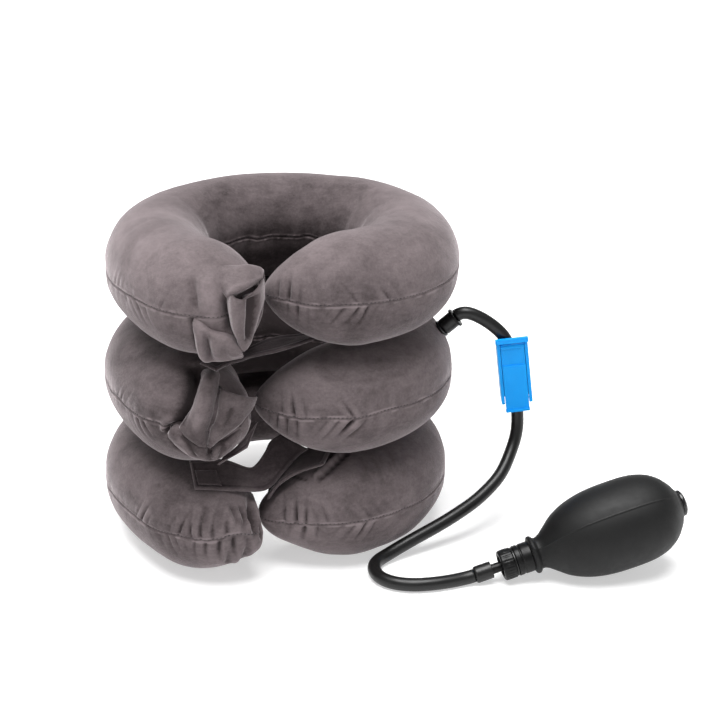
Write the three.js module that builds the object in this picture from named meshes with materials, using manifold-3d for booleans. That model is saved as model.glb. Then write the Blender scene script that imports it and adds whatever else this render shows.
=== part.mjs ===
// Cervical traction device: three stacked C-shaped air rings with a velour cover, closing
// straps, an air port, a rubber hose with a pinch clamp, and a squeeze bulb with its valves.
// Millimetres, +Z up, standing on z = 0. The wearer's face is towards -Y.
import * as THREE from 'three';
import { mergeVertices } from 'three/addons/utils/BufferGeometryUtils.js';
import Module from 'manifold-3d';

const wasm = await Module();
wasm.setup();

// ---------------------------------------------------------------- driving dimensions
const collarX = -67;               // the neck axis, from the middle of the collar and bulb
const collarY = 2.5;
const ringPitch = 68.5;           // seam to seam, inflated
const ringRadius = 77;            // neck axis to the middle of the tube, round the back
const tubeHalfHeight = 33.6;
const tubeHalfWidthBack = 31;
const tubeHalfWidthFront = 34;
const floorFlat = 0.6;            // how much the lowest ring is pressed flat by the floor
const lowerSeamZ = tubeHalfHeight - floorFlat;
const seamGap = 0.3;
const coverThickness = 1.5;
const coverToBladder = 0.7;
const bladderThickness = 1.0;
const endCrowding = 0.3;          // how much closer the sections stand towards the lobes
const liftedBeyond = 0.9;         // sine of the angle behind the side where a seam has risen fully
const strapThickness = 1.0;
const patchThickness = 0.8;
const fitGap = 0.3;               // between pieces that touch

const hoseRadius = 4;
const linkRadius = 4;
const linkBoreRadius = 2.5;

const portElevation = THREE.MathUtils.degToRad(41);
const portAngle = THREE.MathUtils.degToRad(40);   // round the tube's section, from level
const flangeRadius = 5.6;
const flangeThickness = 1.4;
const sleeveRadius = 5.3;
const sleeveLength = 10.5;

const bulbCentre = new THREE.Vector3(202, -84, 29.2);
const bulbPitch = THREE.MathUtils.degToRad(15.5);
const bulbYaw = THREE.MathUtils.degToRad(11.5);

const clampTop = new THREE.Vector3(144, 0, 120.3);
const clampBottom = new THREE.Vector3(149.2, 0, 77);
const clampLength = clampTop.distanceTo(clampBottom);
const clampHalfWidth = 9.7;
const clampWall = 2;
const clampFront = -8;
const clampLipHeight = 3;
const clampTopSlope = THREE.MathUtils.degToRad(27);   // the top falls away behind the lip
const clampBack = 6.8;

// ---------------------------------------------------------------- finishes
const finishes = {
  velour: { color: 0x766c6e, roughness: 0.95, metalness: 0 },
  bladder: { color: 0x2c2a2b, roughness: 0.8, metalness: 0 },
  rubber: { color: 0x161616, roughness: 0.45, metalness: 0 },
  bulb: { color: 0x242425, roughness: 0.6, metalness: 0 },
  hardPlastic: { color: 0x0e0e0f, roughness: 0.25, metalness: 0 },
  clamp: { color: 0x1e96f0, roughness: 0.35, metalness: 0 },
  hook: { color: 0x3a3536, roughness: 0.9, metalness: 0 },
  spring: { color: 0xb8bcc0, roughness: 0.3, metalness: 1 },
};

const device = new THREE.Group();
const collar = new THREE.Group();
collar.position.set(collarX, collarY, 0);
device.add(collar);

function addPiece(parent, name, geometry, finish) {
  const mesh = new THREE.Mesh(geometry, new THREE.MeshStandardMaterial(finishes[finish]));
  mesh.name = name;
  parent.add(mesh);
  return mesh;
}

// ---------------------------------------------------------------- cutting and joining
function toSolid(geometry) {
  const bare = geometry.clone();
  bare.deleteAttribute('normal');
  bare.deleteAttribute('uv');
  const merged = mergeVertices(bare, 1e-4);
  return new wasm.Manifold(new wasm.Mesh({
    numProp: 3,
    vertProperties: Float32Array.from(merged.attributes.position.array),
    triVerts: Uint32Array.from(merged.index.array),
  }));
}

function toGeometry(solid) {
  const mesh = solid.getMesh();
  const geometry = new THREE.BufferGeometry();
  geometry.setAttribute('position', new THREE.BufferAttribute(mesh.vertProperties, 3));
  geometry.setIndex(new THREE.BufferAttribute(mesh.triVerts, 1));
  geometry.computeVertexNormals();
  return geometry;
}

function join(...geometries) {
  return toGeometry(geometries.map(toSolid).reduce((sum, solid) => sum.add(solid)));
}

function cut(geometry, ...tools) {
  return toGeometry(tools.map(toSolid).reduce((rest, tool) => rest.subtract(tool), toSolid(geometry)));
}

function keepInside(geometry, tool) {
  return toGeometry(toSolid(geometry).intersect(toSolid(tool)));
}

function box(low, high) {
  const [x0, y0, z0] = low;
  const [x1, y1, z1] = high;
  const geometry = new THREE.BoxGeometry(x1 - x0, y1 - y0, z1 - z0);
  return geometry.translate((x0 + x1) / 2, (y0 + y1) / 2, (z0 + z1) / 2);
}

// A turned piece: [radius, height] points, turned about Z.
function turned(profile, sides = 24) {
  const outline = profile.map(([radius, height]) => new THREE.Vector2(radius, height));
  return new THREE.LatheGeometry(outline, sides).rotateX(Math.PI / 2);
}

function rod(radius, z0, z1, sides = 24) {
  return turned([[0, z0], [radius, z0], [radius, z1], [0, z1]], sides);
}

function pipe(inner, outer, z0, z1, sides = 24) {
  return turned([[inner, z0], [outer, z0], [outer, z1], [inner, z1], [inner, z0]], sides);
}

// ---------------------------------------------------------------- air rings
// Each ring sits a little off the neck axis, and its two lobes end where they meet in front.
// A lobe's taper is the length over which it narrows to its tip, and a power: low is blunt,
// high is pointed. The lowest ring's tube thins at the back, and its seam rises there.
const rings = [
  {
    name: 'lower', shiftX: -4, leftTipX: -9.5, rightTipX: -8.3, backLift: 9,
    leftTaper: { length: 50, power: 0.52 }, rightTaper: { length: 54, power: 0.6 },
  },
  {
    name: 'middle', shiftX: -1, leftTipX: -14, rightTipX: -13, backLift: 0,
    leftTaper: { length: 54, power: 0.62 }, rightTaper: { length: 58, power: 0.65 },
  },
  {
    name: 'upper', shiftX: 2.5, leftTipX: -3, rightTipX: -6.4, backLift: 0,
    leftTaper: { length: 52, power: 0.58 }, rightTaper: { length: 55, power: 0.62 },
  },
];
const leftTipY = -98;
const rightTipY = -64;
const quarterHandle = ringRadius * 0.5523;   // makes a cubic Bezier a quarter circle

// Seen from above, a ring is half a circle round the back and two arms that curve in to the
// front, each a cubic Bezier.
function makeCentreline({ shiftX, leftTipX, rightTipX }) {
  const at = (x, y) => new THREE.Vector3(shiftX + x, y, 0);
  const path = new THREE.CurvePath();
  const addStretch = (...points) => path.add(new THREE.CubicBezierCurve3(...points));
  const rightTip = new THREE.Vector3(rightTipX, rightTipY, 0);
  const leftTip = new THREE.Vector3(leftTipX, leftTipY, 0);
  addStretch(rightTip, at(39, -68), at(ringRadius, -48), at(ringRadius, 0));
  addStretch(at(ringRadius, 0), at(ringRadius, quarterHandle), at(quarterHandle, ringRadius), at(0, ringRadius));
  addStretch(at(0, ringRadius), at(-quarterHandle, ringRadius), at(-ringRadius, quarterHandle), at(-ringRadius, 0));
  addStretch(at(-ringRadius, 0), at(-ringRadius, -42), at(-42, -84), leftTip);
  return path;
}

// Half-width and half-height at a distance from the nearer end, shrunk inwards by `inset`.
function tubeSize(distanceFromEnd, inset, taper) {
  const fromEnd = distanceFromEnd - inset;
  const towardsFront = 1 - Math.min(1, fromEnd / 150);
  const width = THREE.MathUtils.lerp(tubeHalfWidthBack, tubeHalfWidthFront, towardsFront) - inset;
  const share = Math.min(1, fromEnd / (taper.length - inset));
  const roundOff = Math.sin((share * Math.PI) / 2) ** taper.power;
  return { halfWidth: width * roundOff, halfHeight: (tubeHalfHeight - inset) * roundOff };
}

// How far a ring's seam stands above its height at the front.
function seamLift(ring, x, y) {
  const towardsBack = y / Math.hypot(x - ring.shiftX, y);
  return ring.backLift * THREE.MathUtils.smoothstep(towardsBack, 0, liftedBeyond);
}

// The closed skin of one ring, `inset` inside the cover's outer face, around height seamZ.
function ringSolid(ring, centreline, seamZ, inset, steps, sides) {
  const positions = [];
  const index = [];
  const length = centreline.getLength();
  const place = (share) => {
    const distance = inset + share * (length - 2 * inset);
    const u = distance / length;
    const fromEnd = Math.min(distance, length - distance);
    const taper = distance < length / 2 ? ring.rightTaper : ring.leftTaper;
    const centre = centreline.getPointAt(u);
    const lift = seamLift(ring, centre.x, centre.y);
    return { fromEnd, taper, centre, lift, tangent: centreline.getTangentAt(u) };
  };
  const first = place(0);
  const last = place(1);
  positions.push(first.centre.x, first.centre.y, seamZ);
  for (let step = 1; step < steps; step += 1) {
    const even = step / steps;
    const share = even - (endCrowding * Math.sin(2 * Math.PI * even)) / (2 * Math.PI);
    const { fromEnd, taper, centre, tangent, lift } = place(share);
    const { halfWidth, halfHeight } = tubeSize(fromEnd, inset, taper);
    for (let side = 0; side < sides; side += 1) {
      const angle = (2 * Math.PI * side) / sides;
      const across = halfWidth * Math.cos(angle);
      positions.push(
        centre.x + tangent.y * across,
        centre.y - tangent.x * across,
        seamZ + lift + (halfHeight - lift) * Math.sin(angle),
      );
    }
  }
  positions.push(last.centre.x, last.centre.y, seamZ);
  const at = (step, side) => 1 + (step - 1) * sides + (side % sides);
  const lastIndex = positions.length / 3 - 1;
  for (let side = 0; side < sides; side += 1) {
    index.push(0, at(1, side), at(1, side + 1));
    for (let step = 1; step < steps - 1; step += 1) {
      index.push(at(step, side), at(step + 1, side), at(step + 1, side + 1));
      index.push(at(step, side), at(step + 1, side + 1), at(step, side + 1));
    }
    index.push(lastIndex, at(steps - 1, side + 1), at(steps - 1, side));
  }
  const geometry = new THREE.BufferGeometry();
  geometry.setAttribute('position', new THREE.BufferAttribute(new Float32Array(positions), 3));
  geometry.setIndex(index);
  return geometry;
}

const reach = 200;                 // larger than the collar, for the cutting boxes
const seamZ = rings.map((_, order) => lowerSeamZ + order * ringPitch);

// The port stands on the middle ring's right side, above its seam.
const portPlace = new THREE.Vector3(
  rings[1].shiftX + ringRadius + tubeHalfWidthBack * Math.cos(portAngle) + 0.8,
  0,
  seamZ[1] + tubeHalfHeight * Math.sin(portAngle) + 0.6,
);

function alongPort(geometry) {
  return geometry.rotateY(Math.PI / 2 - portElevation)
    .translate(portPlace.x, portPlace.y, portPlace.z);
}

// Where the air passes from one ring to the next, at the back of the neck.
const linkPlaces = [0, 1].map((order) => new THREE.Vector3(
  (rings[order].shiftX + rings[order + 1].shiftX) / 2,
  ringRadius,
  seamZ[order] + ringPitch / 2,
));

const neckClearRadius = 20;       // inside the open middle of every ring
const seamBlockSides = 96;

// A hollow block from height floorZ up to a ring's seam, or to a face a little off it.
function blockUpToSeam(ring, seamFaceZ, floorZ) {
  const block = pipe(neckClearRadius, reach, floorZ, seamFaceZ, seamBlockSides).translate(ring.shiftX, 0, 0);
  const position = block.attributes.position;
  for (let i = 0; i < position.count; i += 1) {
    const z = position.getZ(i);
    const onSeamFace = Math.abs(z - seamFaceZ) < 0.01;
    if (onSeamFace) {
      position.setZ(i, z + seamLift(ring, position.getX(i), position.getY(i)));
    }
  }
  return block;
}

function addRing(order) {
  const ring = rings[order];
  const { name } = ring;
  const centreline = makeCentreline(ring);
  const z = seamZ[order];
  const passages = linkPlaces
    .filter((place) => Math.abs(place.z - z) < ringPitch)
    .map((place) => rod(linkRadius + fitGap, -16, 16, 16).translate(...place.toArray()));
  if (name === 'middle') {
    passages.push(alongPort(rod(3.6, -12, 6, 16)));
  }

  const coverOutside = ringSolid(ring, centreline, z, 0, 28, 16);
  const coverInside = ringSolid(ring, centreline, z, coverThickness, 22, 10);
  const cover = cut(coverOutside, coverInside, ...passages);
  const topPanel = cut(cover, blockUpToSeam(ring, z + seamGap / 2, -reach));
  const bottomPanel = keepInside(cover, blockUpToSeam(ring, z - seamGap / 2, 0));
  addPiece(collar, `${name}_top_panel`, topPanel, 'velour');
  addPiece(collar, `${name}_bottom_panel`, bottomPanel, 'velour');

  const inset = coverThickness + coverToBladder;
  const bladderOutside = ringSolid(ring, centreline, z, inset, 22, 10);
  const bladderInside = ringSolid(ring, centreline, z, inset + bladderThickness, 22, 10);
  addPiece(collar, `${name}_bladder`, cut(bladderOutside, bladderInside, ...passages), 'bladder');
}

rings.forEach((_, order) => addRing(order));

// Short rubber pipes carry the air from ring to ring.
['lower', 'upper'].forEach((name, order) => {
  const link = pipe(linkBoreRadius, linkRadius, -8, 8, 16).translate(...linkPlaces[order].toArray());
  addPiece(collar, `${name}_air_link`, link, 'bladder');
});

// ---------------------------------------------------------------- closing straps
// A strap is given by its two long edges; `lift` moves it off along its own face.
function ribbon(frontEdge, backEdge, thickness, { lift = 0, from = 0, to = 1, across = [0, 1] } = {}) {
  const steps = 14;
  const front = new THREE.CatmullRomCurve3(frontEdge.map((p) => new THREE.Vector3(...p)));
  const back = new THREE.CatmullRomCurve3(backEdge.map((p) => new THREE.Vector3(...p)));
  const positions = [];
  const index = [];
  for (let step = 0; step <= steps; step += 1) {
    const u = THREE.MathUtils.lerp(from, to, step / steps);
    const a = front.getPoint(u).lerp(back.getPoint(u), across[0]);
    const b = front.getPoint(u).lerp(back.getPoint(u), across[1]);
    const along = front.getTangent(u).add(back.getTangent(u));
    const normal = b.clone().sub(a).cross(along).normalize();
    for (const [edge, side] of [[a, 0.5], [b, 0.5], [b, -0.5], [a, -0.5]]) {
      const corner = edge.clone().addScaledVector(normal, lift + side * thickness);
      positions.push(corner.x, corner.y, corner.z);
    }
  }
  for (let step = 0; step < steps; step += 1) {
    for (let corner = 0; corner < 4; corner += 1) {
      const p = step * 4 + corner;
      const q = step * 4 + ((corner + 1) % 4);
      index.push(p, q + 4, p + 4, p, q, q + 4);
    }
  }
  const end = steps * 4;
  index.push(0, 2, 1, 0, 3, 2, end, end + 1, end + 2, end, end + 2, end + 3);
  const geometry = new THREE.BufferGeometry();
  geometry.setAttribute('position', new THREE.BufferAttribute(new Float32Array(positions), 3));
  geometry.setIndex(index);
  return geometry;
}

const straps = {
  // sewn under the upper ring's right lobe, its free end out between the left lobes
  upper: {
    front: [[24, -74, 136], [8, -77.5, 136], [-10.4, -79, 135.8], [-18.5, -86, 135.8], [-26, -92, 135.5],
      [-31, -100, 135.2]],
    back: [[22, -52, 136.5], [6, -53, 137], [-4, -56, 137], [-13, -66, 136.6], [-22, -77, 136],
      [-41, -90, 135.6]],
  },
  // hangs from the middle ring's right lobe and lies on the lower ring's left lobe
  middle: {
    front: [[19, -64, 70.5], [12, -67, 66], [5, -73, 59.5], [-2, -80, 53.8], [-9, -87, 53.5], [-25, -95.5, 58.2],
      [-46, -98, 60.2]],
    back: [[2, -57, 77], [-4, -61, 74], [-7, -66, 69.5], [-12, -73, 64.6], [-17, -76, 64], [-32, -77, 69.5],
      [-51, -77, 68.2]],
  },
  // sewn on top of the lower ring's right lobe and tucked over its end
  lower: {
    front: [[28, -76, 66], [14, -77, 61], [2, -79, 54], [-5, -82, 46]],
    back: [[34, -54, 67.4], [18, -53, 66], [6, -56, 58], [-3, -62, 49]],
  },
  // the loop side of the middle ring's closure, hanging from its left lobe
  tab: {
    front: [[-32, -100, 76.5], [-24, -98, 80.5], [-15, -94.5, 85]],
    back: [[-28, -97, 80], [-19, -94, 87], [-9, -89, 99]],
  },
};

// The hook patch sewn on each strap: where it sits along and across the strap, and on which face.
const patchLift = strapThickness / 2 + patchThickness / 2 + fitGap;
const patches = {
  upper: { from: 0.72, to: 0.95, across: [0.12, 0.6], lift: -patchLift },
  middle: { from: 0.8, to: 0.97, across: [0.12, 0.6], lift: patchLift },
  lower: { from: 0.5, to: 0.92, across: [0.15, 0.85], lift: -patchLift },
};

for (const [name, { front, back }] of Object.entries(straps)) {
  addPiece(collar, `${name}_strap`, ribbon(front, back, strapThickness), 'velour');
}
for (const [name, place] of Object.entries(patches)) {
  const { front, back } = straps[name];
  addPiece(collar, `${name}_hook_patch`, ribbon(front, back, patchThickness, place), 'hook');
}

// ---------------------------------------------------------------- air port
function addPort() {
  const flange = pipe(2.2, flangeRadius, 0, flangeThickness);
  const spigot = pipe(2.2, 3.2, flangeThickness - 0.01, flangeThickness + sleeveLength - 1);
  const stem = pipe(2.2, 3.2, -7, 0.01);
  addPiece(collar, 'port_flange', alongPort(join(flange, spigot, stem)), 'hardPlastic');

  const sleeveStart = flangeThickness + fitGap;
  const sleeve = pipe(3.5, sleeveRadius, sleeveStart, sleeveStart + sleeveLength);
  addPiece(collar, 'hose_sleeve', alongPort(sleeve), 'rubber');

  const bandEnd = sleeveStart + sleeveLength;
  const band = pipe(sleeveRadius + fitGap, sleeveRadius + 1, bandEnd - 1.4, bandEnd);
  addPiece(collar, 'sleeve_band', alongPort(band), 'hardPlastic');
}

addPort();

// ---------------------------------------------------------------- air hose
// The route from the port's sleeve, over into the clamp, down to the table and to the bulb.
const hoseRoute = [
  [109.5, 0, 132.5],
  [111.2, 0, 133.9],
  [114, 0, 134.9],
  [118.6, 0, 134.2],
  [124.2, 0, 131.7],
  [130.8, 0, 127.6],
  [136.8, 0, 122.6],
  [140.8, 0, 117.9],
  [143, 0, 113],
  [144.6, 0, 105.5],
  [147, 0, 93],
  [149.3, 0, 79],
  [150.1, -0.6, 68],
  [150.1, -3, 57.5],
  [147, -8.5, 47],
  [138.6, -22, 34],
  [125.2, -35, 24.8],
  [112.2, -45.5, 19.6],
  [99.5, -54, 15.2],
  [87, -61.5, 11.4],
  [75.5, -68, 7.6],
  [67, -74, 5],
  [60.5, -81, 4.2],
  [58.3, -90, 4.2],
  [61.5, -101, 4.2],
  [70, -108, 4.2],
  [81, -110.4, 4.2],
  [93, -109, 4.2],
  [104, -105.8, 4.2],
  [110, -103.3, 4.2],
  [114.8, -101.9, 4.6],
];
const bulbAxis = new THREE.Vector3(
  Math.cos(bulbPitch) * Math.cos(bulbYaw),
  Math.cos(bulbPitch) * Math.sin(bulbYaw),
  Math.sin(bulbPitch),
);
// along the bulb's axis, from the bulb's middle
const cuffStart = -89;
const cuffEnd = -78.4;
const nozzleTip = -84;

function addHose() {
  const points = hoseRoute.map((p) => new THREE.Vector3(...p));
  points.push(bulbCentre.clone().addScaledVector(bulbAxis, cuffStart - fitGap));
  const path = new THREE.CatmullRomCurve3(points);
  const section = new THREE.Shape();
  section.absarc(0, 0, hoseRadius, 0, 2 * Math.PI, false);
  const hose = new THREE.ExtrudeGeometry(section, { curveSegments: 10, steps: 40, extrudePath: path });
  addPiece(collar, 'air_hose', hose, 'rubber');
}

addHose();

// ---------------------------------------------------------------- pinch clamp
// Its own frame: Z up along the hose, X across, the back wall towards +Y.
function addClamp() {
  const clamp = new THREE.Group();
  clamp.position.copy(clampTop).add(clampBottom).multiplyScalar(0.5);
  clamp.rotation.y = -Math.atan2(clampBottom.x - clampTop.x, clampTop.z - clampBottom.z);
  collar.add(clamp);

  const top = clampLength / 2;
  const inner = clampHalfWidth - clampWall;
  const pinRadius = 0.8;
  const pinY = clampFront + 1.7;
  const pinZ = top - clampLipHeight - 2.9;
  const acrossAtPin = (geometry) => geometry.rotateY(Math.PI / 2).translate(0, pinY, pinZ);
  const pinHole = acrossAtPin(rod(pinRadius + fitGap, -clampHalfWidth - 1, clampHalfWidth + 1, 16));
  const outside = box([-clampHalfWidth, clampFront, -top], [clampHalfWidth, clampBack, top]);
  const channel = box([-inner, clampFront - 2, -top - 1], [inner, clampBack - clampWall, top + 1]);
  const lipBack = clampFront + 1.6;
  const slopeCut = box([-20, 0, 0], [20, 40, 40]).rotateX(-clampTopSlope).translate(0, lipBack, top);
  const lip = box(
    [-clampHalfWidth - 0.5, clampFront - 0.8, top - clampLipHeight],
    [clampHalfWidth + 0.5, lipBack, top],
  );
  addPiece(clamp, 'clamp_body', cut(join(cut(outside, channel, slopeCut), lip), pinHole), 'clamp');

  const leverHalf = inner - 0.35;
  const leverTop = pinZ + pinRadius + 1.1;
  const leverEnd = -top - 5.5;
  const plate = box([-leverHalf, clampFront + 0.4, leverEnd], [leverHalf, clampFront + 1.9, leverTop]);
  const barrel = acrossAtPin(rod(pinRadius + 1.1, -leverHalf, leverHalf, 20));
  const raised = box([-leverHalf, clampFront - 0.4, leverEnd], [leverHalf, clampFront + 1, top - 18]);
  const endLip = box([-leverHalf - 0.2, clampFront - 0.9, leverEnd], [leverHalf + 0.2, clampFront + 1, leverEnd + 1.8]);
  addPiece(clamp, 'clamp_lever', cut(join(plate, raised, endLip, barrel), pinHole), 'clamp');

  const pin = acrossAtPin(rod(pinRadius, -clampHalfWidth + 0.2, clampHalfWidth - 0.2, 16));
  addPiece(clamp, 'clamp_pin', pin, 'clamp');
}

addClamp();

// ---------------------------------------------------------------- squeeze bulb and its valves
// Its own frame: Z along the bulb, from the hose towards the tail, the middle of the bulb at 0.
const bulbOutline = [
  [10, -46],
  [14, -41],
  [19.2, -34],
  [23.5, -24],
  [26, -12],
  [26.7, 2],
  [26.2, 16],
  [23.6, 26],
  [18.8, 33],
  [12.6, 37.4],
  [9, 39.2],
  [8.2, 41],
];
const bulbWall = 2.5;

function bulbProfile() {
  const curve = new THREE.SplineCurve(bulbOutline.map((p) => new THREE.Vector2(...p)));
  const outer = curve.getPoints(15).map((p) => [p.x, p.y]);
  const inner = outer.map(([radius, height]) => [Math.max(radius - bulbWall, 6.6), height * 0.955]);
  inner[0][1] = -46;
  inner[inner.length - 1][1] = 41;
  const bead = [[6.6, -53.4], [10.4, -53.4], [11.4, -52.6], [11.4, -50.8], [10.4, -50], [9.6, -49.4]];
  return [...bead, ...outer, ...inner.reverse(), [6.6, -53.4]];
}

function addBulb() {
  const pump = new THREE.Group();
  pump.position.copy(bulbCentre);
  pump.quaternion.setFromUnitVectors(new THREE.Vector3(0, 0, 1), bulbAxis);
  collar.add(pump);

  addPiece(pump, 'squeeze_bulb', turned(bulbProfile(), 28), 'bulb');

  // the valve body plugs into the bulb's neck; its nozzle carries the hose
  const bodyProfile = [
    [2.6, nozzleTip], [3, nozzleTip], [3, -72], [3, -63.4], [9.1, -63.4], [9.1, -53.9], [6.2, -53.9],
    [6.2, -40], [2.6, -40], [2.6, -50], [1.2, -50], [1.2, -52], [2.6, -52], [2.6, nozzleTip],
  ];
  addPiece(pump, 'valve_body', turned(bodyProfile, 28), 'hardPlastic');
  addPiece(pump, 'collar_seal', pipe(3.4, 8.6, -64.7, -63.7, 28), 'rubber');

  // the release collar turns on the nozzle; its front is a hollow cup
  const collarProfile = [
    [3.35, -68], [6.6, -68], [6.6, -72.6], [8.4, -72.6], [9.1, -71.9], [9.1, -65], [3.35, -65], [3.35, -68],
  ];
  addPiece(pump, 'release_collar', turned(collarProfile, 28), 'hardPlastic');

  addPiece(pump, 'hose_cuff', pipe(3.4, 5.1, cuffStart, cuffEnd, 20), 'rubber');

  // air from the bulb lifts the ball off its seat towards the hose, as far as the stop
  addPiece(pump, 'outlet_ball', new THREE.SphereGeometry(2, 16, 10).translate(0, 0, -54), 'rubber');
  addPiece(pump, 'ball_stop', pipe(1, 2.3, -60, -58.8, 16), 'hardPlastic');

  // the intake cap closes the tail and holds a flap that lets air in
  const capProfile = [
    [1.3, 42], [4.6, 42], [4.6, 34], [6.2, 34], [6.2, 41.4], [8, 41.4], [8, 43], [6.4, 44.2], [1.3, 44.6],
    [1.3, 42],
  ];
  addPiece(pump, 'intake_cap', turned(capProfile, 28), 'hardPlastic');
  addPiece(pump, 'intake_flap', rod(3.8, 40.8, 41.6, 20), 'rubber');
  const keeperHole = (x) => rod(1.2, 35, 39, 12).translate(x, 0, 0);
  addPiece(pump, 'flap_keeper', cut(rod(4.3, 35.6, 37.2, 20), keeperHole(2.4), keeperHole(-2.4)), 'hardPlastic');
}

addBulb();

export default device;
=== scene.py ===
"""Looks of a cervical traction device: three stacked velour air rings with an open front,
closing straps, an air port, a rubber hose with a pinch clamp, and a squeeze bulb.
Shapes are worked out in millimetres in the part's frame, in which Z is up, and scaled to metres
when a mesh is made."""

import math

import bpy
import bmesh
import numpy as np
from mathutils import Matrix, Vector


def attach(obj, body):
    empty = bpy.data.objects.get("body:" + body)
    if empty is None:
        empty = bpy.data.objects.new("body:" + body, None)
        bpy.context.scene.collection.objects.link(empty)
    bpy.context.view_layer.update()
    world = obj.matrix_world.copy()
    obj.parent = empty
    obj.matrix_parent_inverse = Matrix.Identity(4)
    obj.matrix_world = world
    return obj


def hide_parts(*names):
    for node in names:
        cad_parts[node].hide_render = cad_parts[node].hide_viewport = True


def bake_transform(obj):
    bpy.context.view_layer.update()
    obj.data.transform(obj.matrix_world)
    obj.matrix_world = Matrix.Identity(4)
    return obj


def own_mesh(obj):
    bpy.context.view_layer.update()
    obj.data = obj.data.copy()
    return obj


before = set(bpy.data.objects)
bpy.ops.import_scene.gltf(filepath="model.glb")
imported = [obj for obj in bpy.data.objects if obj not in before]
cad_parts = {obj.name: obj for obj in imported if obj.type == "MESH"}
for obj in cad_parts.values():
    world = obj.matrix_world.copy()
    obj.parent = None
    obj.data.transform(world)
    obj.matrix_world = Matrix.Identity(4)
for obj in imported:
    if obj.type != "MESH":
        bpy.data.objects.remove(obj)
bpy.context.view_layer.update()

MM = 0.001

# ------------------------------------------------------------------ dimensions, as in the CAD
COLLAR = np.array([-67.0, 2.5, 0.0])      # the neck axis, in the part's frame
RING_PITCH = 68.5
RING_RADIUS = 77.0
LOWER_SEAM_Z = 33.0
HALF_HEIGHT = 33.6
HALF_WIDTH_BACK = 31.0
HALF_WIDTH_FRONT = 34.0
LIFTED_BEYOND = 0.9                       # sine of the angle behind the side
RIGHT_TIP_Y = -64.0
LEFT_TIP_Y = -98.0
# A lobe's taper is its length and a power: low is blunt, high is pointed. The four tone numbers are
# painted light and shade: how much lighter the cloth is painted above and below the seam, as light
# falls from above, and how much darker at the left front and on the neck side, where shade falls.
# The last sets in over the range of y in neck_shade.
RINGS = {
    "lower": {"order": 0, "shift": -4.0, "left_tip": -9.5, "right_tip": -8.3, "lift": 9.0,
              "left_taper": (50, 0.52), "right_taper": (54, 0.60), "pile_and_painted_shading": (0.08, 0.08, 0.20, 0.40),
              "neck_shade": (-35, 5)},
    "middle": {"order": 1, "shift": -1.0, "left_tip": -14.0, "right_tip": -13.0, "lift": 0.0,
               "left_taper": (54, 0.62), "right_taper": (58, 0.65), "pile_and_painted_shading": (0.06, -0.05, 0.22, 0.60),
               "neck_shade": (-45, -5)},
    "upper": {"order": 2, "shift": 2.5, "left_tip": -3.0, "right_tip": -6.4, "lift": 0.0,
              "left_taper": (52, 0.58), "right_taper": (55, 0.62), "pile_and_painted_shading": (0.12, -0.18, -0.10, 0.28),
              "neck_shade": (0, 50)},
}
RING_BODY = {"lower": "base", "middle": "middle_ring", "upper": "upper_ring"}
LEAST_Z = 0.35                            # how near the table a cover comes
ROWS, COLUMNS = 430, 132                  # points along and round a cover


# ------------------------------------------------------------------ mesh helpers
def make_mesh(name, points_mm, faces, smooth=True):
    """A mesh object from points in millimetres."""
    mesh = bpy.data.meshes.new(name)
    mesh.from_pydata((np.asarray(points_mm, float) * MM).tolist(), [], faces)
    mesh.validate()
    mesh.update()
    if smooth:
        mesh.shade_smooth()
    piece = bpy.data.objects.new(name, mesh)
    bpy.context.scene.collection.objects.link(piece)
    return piece


def grid_faces(rows, columns, first=0, wrap=False):
    """Quads between neighbouring rows of points; wrap joins the last column to the first."""
    faces = []
    for row in range(rows - 1):
        for column in range(columns if wrap else columns - 1):
            beside = (column + 1) % columns
            low, high = first + row * columns, first + (row + 1) * columns
            faces.append((low + column, high + column, high + beside, low + beside))
    return faces


def tube_faces(rows, sides, first=0):
    """The faces of a tube of points with both its ends closed."""
    last = first + (rows - 1) * sides
    ends = [tuple(first + i for i in range(sides)), tuple(last + i for i in reversed(range(sides)))]
    return grid_faces(rows, sides, first, wrap=True) + ends


def tube_points(path, side, up, radius, sides):
    turn = np.arange(sides) * 2 * math.pi / sides
    around = side[:, None] * np.cos(turn)[:, None] + up[:, None] * np.sin(turn)[:, None]
    return (path[:, None] + radius * around).reshape(-1, 3)


def face_outwards(piece, join_within=None):
    """Turns every face outwards, once points nearer than join_within metres are joined."""
    work = bmesh.new()
    work.from_mesh(piece.data)
    if join_within:
        bmesh.ops.remove_doubles(work, verts=work.verts, dist=join_within)
    bmesh.ops.recalc_face_normals(work, faces=work.faces)
    work.to_mesh(piece.data)
    work.free()


def unit(vectors):
    return vectors / np.maximum(np.linalg.norm(vectors, axis=-1, keepdims=True), 1e-9)


def smoothstep(low, high, value):
    share = np.clip((value - low) / (high - low), 0, 1)
    return share * share * (3 - 2 * share)


def bell(value, width):
    """One at nothing, and down to about a third where value is width."""
    return np.exp(-((value / width) ** 2))


def swell(value, peak):
    """Nothing at nothing, one at peak, and dying away beyond it."""
    return value / peak * np.exp(1 - value / peak)


def spline(points, steps_each=12):
    """A Catmull-Rom curve through the points."""
    p = np.asarray(points, float)
    p = np.vstack([2 * p[0] - p[1], p, 2 * p[-1] - p[-2]])
    t = np.linspace(0, 1, steps_each, endpoint=False)[:, None]
    parts = []
    for a, b, c, d in zip(p[:-3], p[1:-2], p[2:-1], p[3:]):
        parts.append(
            0.5 * (2 * b + (c - a) * t + (2 * a - 5 * b + 4 * c - d) * t**2
                   + (3 * b - a - 3 * c + d) * t**3)
        )
    return np.vstack(parts + [p[-2:-1]])


def run_of(line):
    """How far along a line each of its points is."""
    return np.r_[0, np.cumsum(np.linalg.norm(np.diff(line, axis=0), axis=1))]


def at_run(at, along, line):
    """The line's points at the distances in at."""
    return np.stack([np.interp(at, along, column) for column in line.T], axis=-1)


def spaced(line, step):
    """The line again with points about step apart."""
    along = run_of(line)
    count = max(2, int(round(along[-1] / step)) + 1)
    return at_run(np.linspace(0, along[-1], count), along, line)


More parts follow.
